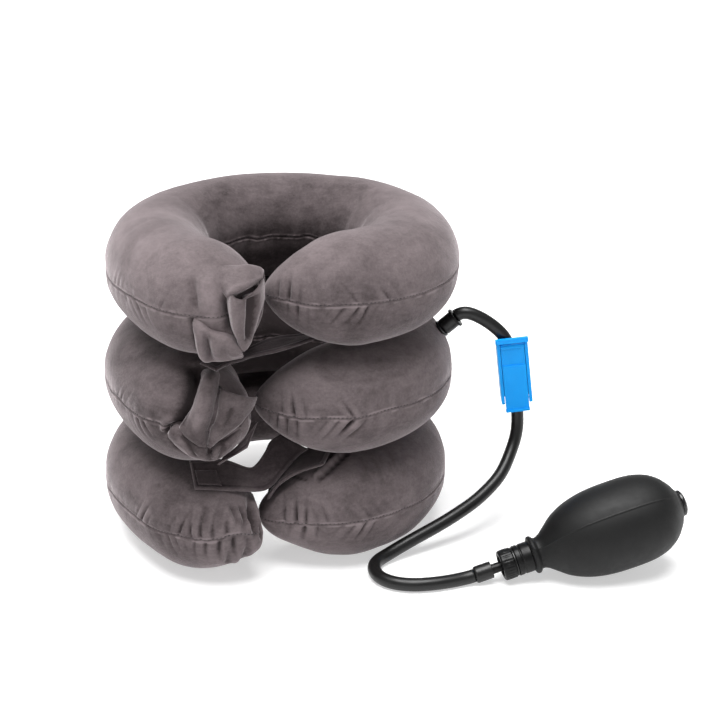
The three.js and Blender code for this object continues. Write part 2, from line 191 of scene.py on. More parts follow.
def noise(points, cell, seed):
    """Smooth noise from -1 to 1: a value at each corner of a grid of cells, and blends between."""
    scaled = np.asarray(points, float) / cell
    low = np.floor(scaled).astype(np.int64)
    share = scaled - low
    share = share * share * (3 - 2 * share)
    total = np.zeros(scaled.shape[:-1])
    for corner in range(8):
        bits = np.array([corner >> axis & 1 for axis in range(3)])
        key = ((low + bits) * np.array([73856093, 19349663, 83492791])).sum(-1)
        key = key + seed * 7919
        key = (key ^ (key >> 13)) * 1274126177
        value = ((key ^ (key >> 16)) & 65535) / 32767.5 - 1
        total += value * np.prod(np.where(bits, share, 1 - share), axis=-1)
    return total


# ------------------------------------------------------------------ materials
class Nodes:
    """Short calls for building a material's nodes."""

    def __init__(self, name):
        self.material = bpy.data.materials.new(name)
        self.material.use_nodes = True
        self.tree = self.material.node_tree
        self.shader = self.tree.nodes["Principled BSDF"]
        self.where = self.tree.nodes.new("ShaderNodeTexCoord").outputs["Object"]

    def set(self, **values):
        for name, value in values.items():
            self.shader.inputs[name.replace("_", " ")].default_value = value
        return self

    def link(self, source, target):
        self.tree.links.new(source, target)

    def noise(self, size, detail=2.0, rough=0.5, stretch=(1, 1, 1), distortion=0.0):
        """Noise whose features are about size metres across."""
        mapping = self.tree.nodes.new("ShaderNodeMapping")
        mapping.inputs["Scale"].default_value = stretch
        self.link(self.where, mapping.inputs["Vector"])
        node = self.tree.nodes.new("ShaderNodeTexNoise")
        node.inputs["Scale"].default_value = 1 / size
        node.inputs["Detail"].default_value = detail
        node.inputs["Roughness"].default_value = rough
        node.inputs["Distortion"].default_value = distortion
        self.link(mapping.outputs["Vector"], node.inputs["Vector"])
        return node.outputs["Fac"]

    def curve(self, value, *stops):
        """A number remapped through straight pieces between (from, to) stops."""
        for (x0, y0), (x1, y1) in zip(stops[:-1], stops[1:]):
            node = self.tree.nodes.new("ShaderNodeMapRange")
            for index, number in enumerate((x0, x1, y0, y1), start=1):
                node.inputs[index].default_value = number
            self.link(value, node.inputs[0])
            value = node.outputs[0]
        return value

    def maths(self, operation, first, second):
        node = self.tree.nodes.new("ShaderNodeMath")
        node.operation = operation
        for index, value in enumerate((first, second)):
            if isinstance(value, (int, float)):
                node.inputs[index].default_value = value
            else:
                self.link(value, node.inputs[index])
        return node.outputs[0]

    def weigh(self, first, weight, second, other_weight):
        """Both values times their weights, added up."""
        return self.maths("ADD", self.maths("MULTIPLY", first, weight),
                          self.maths("MULTIPLY", second, other_weight))

    def mix(self, share, first, second):
        node = self.tree.nodes.new("ShaderNodeMix")
        node.data_type = "RGBA"
        node.clamp_factor = True
        for name, value in (("Factor_Float", share), ("A_Color", first), ("B_Color", second)):
            socket = next(s for s in node.inputs if s.identifier == name)
            if isinstance(value, (int, float)):
                socket.default_value = value
            elif isinstance(value, tuple):
                socket.default_value = (*value, 1)
            else:
                self.link(value, socket)
        return next(s for s in node.outputs if s.identifier == "Result_Color")

    def attribute(self, name):
        node = self.tree.nodes.new("ShaderNodeAttribute")
        node.attribute_name = name
        return node.outputs["Fac"]

    def pointiness(self):
        """Above a half on ridges and below it in creases."""
        return self.tree.nodes.new("ShaderNodeNewGeometry").outputs["Pointiness"]

    def bump(self, height, depth, strength=1.0):
        """depth is the height of a full step of the height value, in metres."""
        node = self.tree.nodes.new("ShaderNodeBump")
        node.inputs["Strength"].default_value = strength
        node.inputs["Distance"].default_value = depth
        self.link(height, node.inputs["Height"])
        self.link(node.outputs["Normal"], self.shader.inputs["Normal"])

    def colour(self, source):
        self.link(source, self.shader.inputs["Base Color"])

    def roughness(self, source):
        self.link(source, self.shader.inputs["Roughness"])


def velour(name, dark, light, tone_from=None):
    """Short brushed pile: soft streaks where it lies over, fine mottling, and a sheen."""
    n = Nodes(name)
    n.set(Sheen_Weight=0.62, Sheen_Roughness=0.33, Sheen_Tint=(0.88, 0.80, 0.82, 1))
    n.set(Specular_IOR_Level=0.12)
    patches = n.noise(0.034, 3.0, 0.62, stretch=(1.0, 0.8, 1.5), distortion=0.9)
    strokes = n.noise(0.006, 3.0, 0.65, stretch=(0.75, 1.0, 1.6), distortion=0.4)
    mottle = n.noise(0.0016, 2.0, 0.6)
    pile_and_painted_shading = n.noise(0.0005, 1.0, 0.6)
    streak = n.weigh(patches, 0.66, strokes, 0.34)
    share = n.curve(streak, (0.36, 0.0), (0.64, 1.0))
    fine = n.weigh(mottle, 0.6, pile_and_painted_shading, 0.4)
    share = n.weigh(share, 0.46, fine, 0.66)
    # Painted shade in creases and painted highlights on ridges, from the surface's pointiness.
    share = n.maths("ADD", share, n.curve(n.pointiness(), (0.44, -0.36), (0.5, -0.06), (0.56, 0.36)))
    # The tone attribute carries the painted light and shade sculpted into the cloth.
    if tone_from:
        share = n.maths("ADD", share, n.attribute(tone_from))
    n.colour(n.mix(share, dark, light))
    n.roughness(n.curve(patches, (0.3, 0.86), (0.7, 1.0)))
    n.bump(n.maths("ADD", n.maths("MULTIPLY", mottle, 0.7), pile_and_painted_shading), 0.00035, 0.45)
    return n.material


def thread(name, dark, light):
    n = Nodes(name)
    n.set(Sheen_Weight=0.3, Sheen_Roughness=0.4, Specular_IOR_Level=0.25)
    twist = n.noise(0.0004, 1.0, 0.5, stretch=(1, 1, 2))
    n.colour(n.mix(twist, dark, light))
    n.roughness(n.curve(twist, (0.0, 0.7), (1.0, 0.95)))
    n.bump(twist, 0.0001, 0.5)
    return n.material


def rubber(name, dark, light, rough, grain, depth, bloom=0.3, sheen=0.0, level=0.4):
    """Moulded rubber: fine grain and faint cloudy bloom."""
    n = Nodes(name)
    n.set(Specular_IOR_Level=level, Sheen_Weight=sheen, Sheen_Roughness=0.35)
    cloud = n.noise(0.016, 3.0, 0.6, distortion=0.5)
    fine = n.noise(grain, 2.0, 0.6)
    scuffs = n.noise(0.004, 3.0, 0.7, stretch=(1, 1, 0.5))
    share = n.weigh(cloud, bloom, fine, 0.3)
    n.colour(n.mix(n.maths("ADD", share, 0.1), dark, light))
    worn = n.weigh(cloud, 0.5, scuffs, 0.5)
    n.roughness(n.curve(worn, (0.3, rough - 0.07), (0.7, rough + 0.09)))
    n.bump(fine, depth, 0.5)
    return n.material


def moulded(name, dark, light, rough, glow=0.0, level=0.5):
    """Moulded plastic with a faint orange-peel surface; glow is how far light goes in."""
    n = Nodes(name)
    n.set(Specular_IOR_Level=level)
    if glow:
        n.set(Subsurface_Weight=glow, Subsurface_Scale=0.004, Subsurface_Radius=(0.3, 0.8, 1.0))
    cloud = n.noise(0.012, 2.0, 0.5)
    peel = n.noise(0.0018, 2.0, 0.5)
    flow = n.noise(0.006, 3.0, 0.6, stretch=(1, 1, 0.25), distortion=0.4)
    share = n.weigh(cloud, 0.6, flow, 0.5)
    n.colour(n.mix(n.maths("ADD", share, -0.05), dark, light))
    n.roughness(n.curve(flow, (0.3, rough - 0.05), (0.7, rough + 0.08)))
    n.bump(peel, 0.00008, 0.5)
    return n.material


VELOUR = velour("velour_taupe", (0.042, 0.033, 0.034), (0.182, 0.150, 0.155), "tone")
# The straps' velour is the covers' cloth painted darker: painted shade, for straps that lie in shade
# between the rings.
SHADED_STRAP_VELOUR = velour("velour_strap_painted_shade", (0.034, 0.026, 0.028), (0.118, 0.097, 0.100), "tone")
THREAD = thread("thread_dark", (0.020, 0.016, 0.018), (0.060, 0.050, 0.053))
HOOKS = thread("hook_tape", (0.018, 0.016, 0.017), (0.070, 0.062, 0.064))
HOSE = rubber("hose_rubber", (0.0025, 0.0025, 0.0025), (0.008, 0.008, 0.008), 0.36, 0.0007, 0.00004)
BULB = rubber("bulb_rubber", (0.0010, 0.0011, 0.0011),
(0.0032, 0.0032, 0.0034), 0.57, 0.0005, 0.00006,
              bloom=0.5, sheen=0.04, level=0.32)
GLOSS = moulded("plastic_black", (0.003, 0.003, 0.0035), (0.009, 0.009, 0.010), 0.20)
SATIN = moulded("plastic_satin_black", (0.0014, 0.0014, 0.0014), (0.0045, 0.0045, 0.0047), 0.38,
                level=0.22)
BLUE = moulded("plastic_blue", (0.001, 0.295, 0.84), (0.003, 0.350, 0.90), 0.40, glow=0.15, level=0.2)


# ------------------------------------------------------------------ thin cloth pieces
def set_tone(piece, tone):
    attribute = piece.data.attributes.new("tone", "FLOAT", "POINT")
    attribute.data.foreach_set("value", np.asarray(tone, np.float32).ravel())


def grid_normals(grid):
    return unit(np.cross(np.gradient(grid, axis=0), np.gradient(grid, axis=1)))


def cloth_arrays(grid, thickness, tone=None, hem=0.0, hem_width=4.0):
    """Points, faces and tone of a closed sheet of cloth over a grid. hem thickens its border, up to a
    sunken row of stitches at hem_width from the edge."""
    rounding, thinnest = 0.9, 0.06
    rows, columns = grid.shape[:2]
    normals = grid_normals(grid)
    run = np.linalg.norm(np.diff(grid, axis=0), axis=2).mean(1).sum() / (rows - 1)
    rise = np.linalg.norm(np.diff(grid, axis=1), axis=2).mean(0).sum() / (columns - 1)
    i, j = np.meshgrid(np.arange(rows), np.arange(columns), indexing="ij")
    edge = np.minimum(np.minimum(i, rows - 1 - i) * run, np.minimum(j, columns - 1 - j) * rise)
    half = thickness / 2 + hem * (1 - smoothstep(hem_width * 0.75, hem_width, edge))
    half = half * np.sqrt(np.clip(1 - (1 - np.clip(edge / rounding, 0, 1)) ** 2, thinnest, 1))
    half -= 0.35 * hem * bell(edge - hem_width, 0.7)
    top, bottom = grid + normals * half[..., None], grid - normals * half[..., None]
    points = np.vstack([top.reshape(-1, 3), bottom.reshape(-1, 3)])
    count = rows * columns
    faces = grid_faces(rows, columns)
    faces += [tuple(reversed([count + v for v in face])) for face in grid_faces(rows, columns)]
    rim = [(r, 0) for r in range(rows)]
    rim += [(rows - 1, c) for c in range(1, columns)]
    rim += [(r, columns - 1) for r in range(rows - 2, -1, -1)]
    rim += [(0, c) for c in range(columns - 2, 0, -1)]
    ids = [r * columns + c for r, c in rim]
    for a, b in zip(ids, ids[1:] + ids[:1]):
        faces.append((a, b, count + b, count + a))
    shade = np.zeros((rows, columns)) if tone is None else tone
    if hem:
        shade = shade + 0.26 * (1 - smoothstep(0, 1.6, edge))
        shade = shade - 0.40 * bell(edge - hem_width, 0.45)
    return points, faces, np.concatenate([shade.ravel(), shade.ravel()])


def thick_sheet(name, grid, thickness, material, hem=0.0, hem_width=4.0, pile_and_painted_shading=(0.0, 0.0)):
    """A closed sheet of cloth as a piece of its own, with painted shade on its tone; the last
    argument gives that tone at the first and last row.
    """
    shade = np.linspace(*pile_and_painted_shading, len(grid))[:, None] * np.ones(grid.shape[1])
    points, faces, tone = cloth_arrays(grid, thickness, shade, hem, hem_width)
    piece = make_mesh(name, points, faces)
    face_outwards(piece)
    set_tone(piece, tone)
    piece.data.materials.append(material)
    return piece


def quilt(control, steps=7):
    """A smooth surface through a small grid of points."""
    across = np.array([spline(row, steps) for row in control])
    return np.stack([spline(across[:, k], steps) for k in range(across.shape[1])], axis=1)


# ------------------------------------------------------------------ air ring surface
def centreline(ring):
    """The middle line of a ring's tube from its right tip round the back to its left tip."""
    def at(x, y):
        return np.array([ring["shift"] + x, y])

    r = RING_RADIUS
    handle = r * 0.5523                   # makes a cubic curve a quarter circle
    right, left = np.array([ring["right_tip"], RIGHT_TIP_Y]), np.array([ring["left_tip"], LEFT_TIP_Y])
    stretches = (
        (right, at(39, -68), at(r, -48), at(r, 0)),
        (at(r, 0), at(r, handle), at(handle, r), at(0, r)),
        (at(0, r), at(-handle, r), at(-r, handle), at(-r, 0)),
        (at(-r, 0), at(-r, -42), at(-42, -84), left),
    )
    t = np.linspace(0, 1, 400)[:, None]
    points = np.vstack([
        ((1 - t) ** 3 * a + 3 * (1 - t) ** 2 * t * b + 3 * (1 - t) * t * t * c + t**3 * d)[i > 0:]
        for i, (a, b, c, d) in enumerate(stretches)
    ])
    return points + COLLAR[:2], run_of(points)


def tube_size(ring, distance, length):
    """Half-width and half-height at a distance from the right tip."""
    arm = 150
    from_end = np.minimum(distance, length - distance)
    front = 1 - np.minimum(1, from_end / arm)
    width = HALF_WIDTH_BACK + (HALF_WIDTH_FRONT - HALF_WIDTH_BACK) * front
    right = distance < length / 2
    taper = np.where(right, ring["right_taper"][0], ring["left_taper"][0])
    power = np.where(right, ring["right_taper"][1], ring["left_taper"][1])
    round_off = np.sin(np.minimum(1, from_end / taper) * math.pi / 2) ** power
    return width * round_off, HALF_HEIGHT * round_off


def seam_lift(ring, centre):
    """How far the seam stands above its height at the front."""
    x, y = centre[..., 0] - COLLAR[0] - ring["shift"], centre[..., 1] - COLLAR[1]
    return ring["lift"] * smoothstep(0, LIFTED_BEYOND, y / np.maximum(np.hypot(x, y), 1))


def seam_height(ring, centre):
    return LOWER_SEAM_Z + ring["order"] * RING_PITCH + seam_lift(ring, centre)


def ring_points(ring, distance, angle):
    """Points on a ring at distances from its right tip and angles round its section."""
    line, along = centreline(ring)
    length = along[-1]
    centre = at_run(distance, along, line)
    ahead = at_run(np.minimum(distance + 0.5, length), along, line)
    behind = at_run(np.maximum(distance - 0.5, 0), along, line)
    tangent = unit(ahead - behind)
    width, height = tube_size(ring, distance, length)
    across = width * np.cos(angle)
    return np.stack([
        centre[..., 0] + tangent[..., 1] * across,
        centre[..., 1] - tangent[..., 0] * across,
        seam_height(ring, centre) + (height - seam_lift(ring, centre)) * np.sin(angle),
    ], axis=-1)


def ring_stations(ring, rows):
    """Distances from the right tip, closer together over the lobes and closest on the left one."""
    length = centreline(ring)[1][-1]
    fine = np.linspace(0.002, length - 0.002, 12000)
    height = tube_size(ring, fine, length)[1]
    step = np.hypot(np.diff(fine), np.diff(height))
    at_back, closer_left, closer_right = 3.4, 2.2, 2.1
    from_right, from_left = fine[1:], length - fine[1:]
    spacing = at_back - closer_left * (1 - smoothstep(60, 120, from_left))
    spacing = spacing - closer_right * (1 - smoothstep(80, 150, from_right))
    count = np.r_[0, np.cumsum(step / spacing)]
    return np.interp(np.linspace(0, count[-1], rows), count, fine), length


def ring_angles(columns):
    """Angles round the section, closer together at the two seams."""
    even = np.arange(columns) * 2 * math.pi / columns
    return even - 0.36 * np.sin(2 * even)


def near_path(points, path):
    """For each point: distance to the path, share along it, and the path's direction there."""
    best = np.full(points.shape[:-1], 1e9)
    share = np.zeros(points.shape[:-1])
    direction = np.zeros(points.shape)
    offset = np.zeros(points.shape)
    lengths = np.linalg.norm(np.diff(path, axis=0), axis=1)
    starts = np.r_[0, np.cumsum(lengths)]
    for i, (a, b) in enumerate(zip(path[:-1], path[1:])):
        d = b - a
        t = np.clip(((points - a) @ d) / max(d @ d, 1e-9), 0, 1)
        away = points - (a + t[..., None] * d)
        far = np.linalg.norm(away, axis=-1)
        closer = far < best
        best = np.where(closer, far, best)
        share = np.where(closer, (starts[i] + t * lengths[i]) / starts[-1], share)
        direction = np.where(closer[..., None], d / max(np.linalg.norm(d), 1e-9), direction)
        offset = np.where(closer[..., None], away, offset)
    return best, share, direction, offset


class Sculpt:
    """Moves of a surface's points along its normals and across creases, in millimetres."""

    def __init__(self, points, normals):
        self.points, self.normals = points, normals
        self.push = np.zeros(points.shape[:-1])
        self.slide = np.zeros(points.shape)
        # tone is painted shade in grooves and painted highlights on ridges, added to the cloth's
        # colour.
        self.tone = np.zeros(points.shape[:-1])

    def strip(self, path, width, fade):
        """How strongly each point belongs to a strip of cloth along path, its distance from the path,
        the path's direction, the way there, and the fading towards the path's two ends."""
        far, share, direction, offset = near_path(self.points, spline(path, 8))
        shares = [max(part, 1e-3) for part in fade]
        ends = smoothstep(0, shares[0], share) * smoothstep(0, shares[1], 1 - share)
        return bell(far, width) * ends, far, direction, offset, ends

    def crease(self, path, width, depth, lip=0.0, lean=0.0, dark=0.5, fade=(0.25, 0.25)):
        """A groove along path, depth deep. lip raises its right-hand side (left if negative), and
        lean slides that side over the groove, so that the cloth folds over it."""
        groove, far, direction, offset, ends = self.strip(path, width, fade)
        self.push -= depth * groove
        # Painted shade in the groove.
        self.tone -= dark * groove
        if lip:
            across = unit(np.cross(direction, self.normals))
            side = (offset * across).sum(-1) * np.sign(lip)
            hill = bell(side - 1.7 * width, 1.1 * width) * ends
            hill *= np.exp(-np.maximum(far - np.abs(side), 0) / width)
            self.push += abs(lip) * hill
            # Painted highlight on the raised lip.
            self.tone += 0.30 * dark * hill
            if lean:
                near = bell(side - 1.2 * width, 1.2 * width) * ends
                self.slide -= across * (np.sign(lip) * lean * near)[..., None]

    def ridge(self, path, width, height, light=0.25, fade=(0.3, 0.3)):
        hill = self.strip(path, width, fade)[0]
        self.push += height * hill
        # light is a painted highlight along the ridge.
        self.tone += light * hill

    def pull(self, centre, radius, move):
        """Carries the points near centre along by move."""
        far = np.linalg.norm(self.points - np.array(centre, float), axis=-1)
        self.slide += np.array(move, float) * bell(far, radius)[..., None]

    def paint_highlight_along_x(self, x, width, light):
        """Lightens the tone all along a line of equal x: a painted highlight down a fold's ridge."""
        self.tone += light * bell(self.points[..., 0] - x, width)

    def moved(self):
        return self.points + self.normals * self.push[..., None] + self.slide


PUCKER_PITCH = 5.2


def pucker(sculpt, ring_length, distance, height, spec, end):
    """Short parallel creases square to the seam, by a row of PUCKERS."""
    from_tip, side, creases, depth, reach = spec
    at = from_tip if end == "right" else ring_length - from_tip
    slant = max(0.4 - from_tip / 50, -0.5)
    along = distance - at - slant * np.abs(height) * (1 if end == "right" else -1)
    spread = 0.5 * PUCKER_PITCH * creases
    waver = np.stack([distance, 0.3 * height, 0 * distance + 7.0 * from_tip], axis=-1)
    along = along + 1.8 * noise(waver, 9, 51)
    crest = 0.5 + 0.5 * np.cos(2 * math.pi * along / PUCKER_PITCH)
    ripple = 1.7 * (crest**4 - 0.27) * bell(along, spread)
    ripple = ripple * (0.80 + 0.75 * noise(waver, 6, 52))
    up = np.clip(height * side, 0, None)
    rise = 0.75 * swell(up, 3.0)
    rise = rise + 0.55 * smoothstep(0.5, 3, up) * (1 - smoothstep(0.3 * reach, reach, up))
    sculpt.push -= depth * ripple * rise
    # Painted shade in the puckers' creases and painted highlights on their crests.
    sculpt.tone -= 0.34 * depth * ripple * rise


def surface_normals(points):
    along = np.gradient(points, axis=0)
    wrapped = np.concatenate([points[:, -1:], points, points[:, :1]], axis=1)
    around = (wrapped[:, 2:] - wrapped[:, :-2]) / 2
    return unit(np.cross(along, around))


# (distance from the tip, above +1 or below -1 the seam, creases, depth, reach), by lobe
PUCKERS = {
    ("upper", "right"): [(15, 1, 2, 1.3, 20), (20, -1, 2, 1.2, 12), (46, 1, 1, 1.1, 18),
                         (45, -1, 3, 1.3, 17), (60, 1, 2, 0.6, 10)],
    ("upper", "left"): [(62, -1, 3, 0.4, 14), (88, 1, 3, 0.4, 14), (44, 1, 2, 0.4, 12)],
    ("middle", "right"): [(20, -1, 3, 1.3, 18), (22, 1, 2, 0.9, 16), (50, 1, 2, 0.8, 14),
                          (49, -1, 3, 1.4, 18)],
    ("middle", "left"): [(52, -1, 3, 0.5, 14), (70, 1, 3, 0.4, 14)],
    ("lower", "right"): [(19, 1, 3, 1.3, 20), (22, -1, 2, 1.0, 14), (34, 1, 2, 1.1, 20),
                         (50, -1, 3, 0.8, 16), (58, 1, 3, 0.7, 14)],
    ("lower", "left"): [(57, 1, 2, 0.8, 18), (33, 1, 2, 1.3, 20), (15, 1, 4, 1.5, 22),
                        (14, -1, 4, 1.2, 16), (40, -1, 3, 0.7, 12)],
}


def sculpt_seams(sculpt, name, ring, distance, angle, length):
    """The pinch at both seams with its fine gathers, and the puckers that the filling pulls up."""
    height = sculpt.points[..., 2] - sculpt.points[:, :1, 2]
    near = np.abs(height)
    at_outer_seam = np.cos(angle) > 0
    order, apart = ring["order"], np.where(at_outer_seam, 0, 90.0)
    wide = smoothstep(8, 20, tube_size(ring, distance, length)[1])
    sculpt.push -= wide * (0.30 * bell(near, 0.6) + 0.70 * bell(near, 4.5))
    sculpt.tone += 0.10 * bell(near, 0.4) * wide
    where = np.stack([distance, 40.0 * np.where(height > 0, 1, 0) + 0.25 * near, apart], axis=-1)
    # Painted highlights on the raised lips beside the seam, broken up into flecks.
    lips = bell(near - 1.2, 0.6) * wide
    flecks = np.clip(0.35 + 1.3 * noise(where, 2.8, 81 + order), 0, None)
    sculpt.tone += 0.75 * lips * flecks
    sculpt.push += 0.30 * lips
    gathers = noise(where, 2.3, 11 + order) * 0.6 + noise(where, 5.0, 21 + order) * 0.7
    band = swell(near, 2.2) * 0.34 * wide
    sculpt.push += gathers * band
    # Painted light and shade following the gathers.
    sculpt.tone += 0.35 * gathers * band
    along = np.stack([distance, 0 * distance, apart], axis=-1)
    sculpt.slide[..., 2] += 0.8 * noise(along, 13, 41 + order) * wide * bell(near, 9)
    signed = np.where(at_outer_seam, height, 1e3)
    for end in ("right", "left"):
        for spec in PUCKERS[name, end]:
            pucker(sculpt, length, distance, signed, spec, end)


def sculpt_body(sculpt, ring, distance, angle):
    """Slack in the cloth: slow swells everywhere, and folds squashed up round the neck side."""
    p = sculpt.points
    above, below, left, neck = ring["pile_and_painted_shading"]
    # Painted light and shade on the tone: lighter on top and below the seam where light falls, darker
    # at the left front and on the neck side where shade falls.
    sculpt.tone += above * smoothstep(0.2, 0.9, np.sin(angle))
    sculpt.tone += below * smoothstep(0.0, 0.4, -np.sin(angle))
    left_front = smoothstep(-20, -60, p[..., 0] - COLLAR[0]) * smoothstep(20, -40, p[..., 1])
    sculpt.tone -= left * left_front
    neck_side = smoothstep(*ring["neck_shade"], p[..., 1])
    sculpt.tone -= neck * neck_side * smoothstep(-0.3, 0.5, -np.cos(angle))
    seed = 31 + 7 * ring["order"]
    swells = 0.75 * noise(p, 46, seed) + 0.34 * noise(p, 17, seed + 1) + 0.09 * noise(p, 6, seed + 2)
    sculpt.push += swells
    inner = smoothstep(-0.15, -0.85, -np.abs(np.cos(angle))) * (np.cos(angle) < 0)
    where = np.stack([distance, 30 * np.sin(angle), 0 * distance], axis=-1)
    folds = noise(where * np.array([1, 0.22, 1]), 11, seed + 3)
    sculpt.push += 1.0 * folds * inner
    # Painted light and shade: a little lighter on the folds' crests and darker in their hollows.
    sculpt.tone += 0.05 * folds * inner


# In these sculpts a crease's dark is painted shade and a ridge's light a painted highlight.
def sculpt_upper_left(s):
    # the valley beside the pleat, the full column left of it, and a shallow fold further left
    s.crease([(-90.5, -103, 185), (-90, -106, 178), (-89, -106, 170), (-87.5, -106, 161)], 3.0, 5.0,
             dark=0.4, fade=(0.35, 0.1))
    s.ridge([(-101, -93, 194), (-99, -103, 185), (-98, -107, 174), (-97, -106, 164)], 5.0, 2.6)
    s.crease([(-111, -95, 190), (-108.5, -103, 182),
              (-107.5, -106, 172)], 3.0, 2.8, lip=-1.4, dark=0.35)
    s.crease([(-110, -105, 171), (-108.5, -104, 162), (-108, -100, 152), (-107, -92, 143)], 1.6, 2.6,
             dark=0.6, fade=(0.1, 0.2))
    s.pull((-95, -97, 151), 12, (1.5, -2.0, -4.5))
    s.pull((-78, -96, 168), 12, (0, 3, -2))
    s.pull((-66, -95, 169), 9, (-5, 3, 0))


def sculpt_middle_left(s):
    s.crease([(-109, -76, 131), (-110, -88, 127), (-112, -97, 118), (-115, -101, 110),
              (-120, -102, 103)],
             4.8, 9.5, lip=-1.2, dark=1.1, fade=(0.10, 0.05))
    s.ridge([(-101, -84, 127), (-104, -98, 116), (-106.5, -103, 103)], 4.0, 1.5)
    s.crease([(-119, -101, 103.5), (-123, -100, 104.5), (-127, -98.5, 101.5),
              (-127, -97, 96)], 1.5, 2.8,
             lip=2.2, lean=1.2, dark=0.7, fade=(0.1, 0.2))
    s.crease([(-126, -97, 96), (-121, -97, 88), (-114, -96, 82.5)], 1.6, 2.2, dark=0.5)
    s.pull((-104, -103, 92), 11, (0, -1.0, -3.5))


def sculpt_lower_left(s):
    s.crease([(-80, -74, 54), (-79.5, -86, 52), (-79.5, -94, 46), (-81, -99, 38),
              (-83, -101, 28)], 2.6, 7.5,
             lip=-2.2, lean=-1.4, dark=1.3, fade=(0.05, 0.2))
    s.crease([(-76, -90, 46), (-76, -96, 38), (-78, -98, 28)], 2.0, 3.5, dark=1.0, fade=(0.2, 0.2))
    s.pull((-80, -96, 24), 13, (4.0, 0.5, -1.5))
    s.crease([(-92, -98, 52), (-90, -102, 45), (-88.5, -105, 37)], 1.8, 2.6, lip=1.4, dark=0.45)
    s.crease([(-87.5, -96, 51), (-85.5, -100, 44), (-85, -104, 36)], 1.7, 2.8, lip=1.4, dark=0.5)
    s.crease([(-98, -100, 51), (-98.5, -104, 44), (-99, -107, 37)], 1.9, 2.0, lip=1.0, dark=0.35)
    s.crease([(-106, -99, 53), (-106.5, -104, 45), (-107, -107, 37)], 1.9, 1.4, lip=0.8, dark=0.25)
    s.crease([(-94, -106, 31), (-95, -103, 20), (-96, -96, 12)], 2.0, 2.2, lip=1.2, dark=0.35)
    s.crease([(-86, -104, 30), (-87, -99, 18), (-89, -90, 10)], 2.0, 2.6, lip=1.2, dark=0.4)
    s.ridge([(-83, -101, 44), (-82, -102, 38), (-83, -101, 30)], 2.4, 2.2)
    s.pull((-89, -105, 36), 9, (1, 0, 3.5))


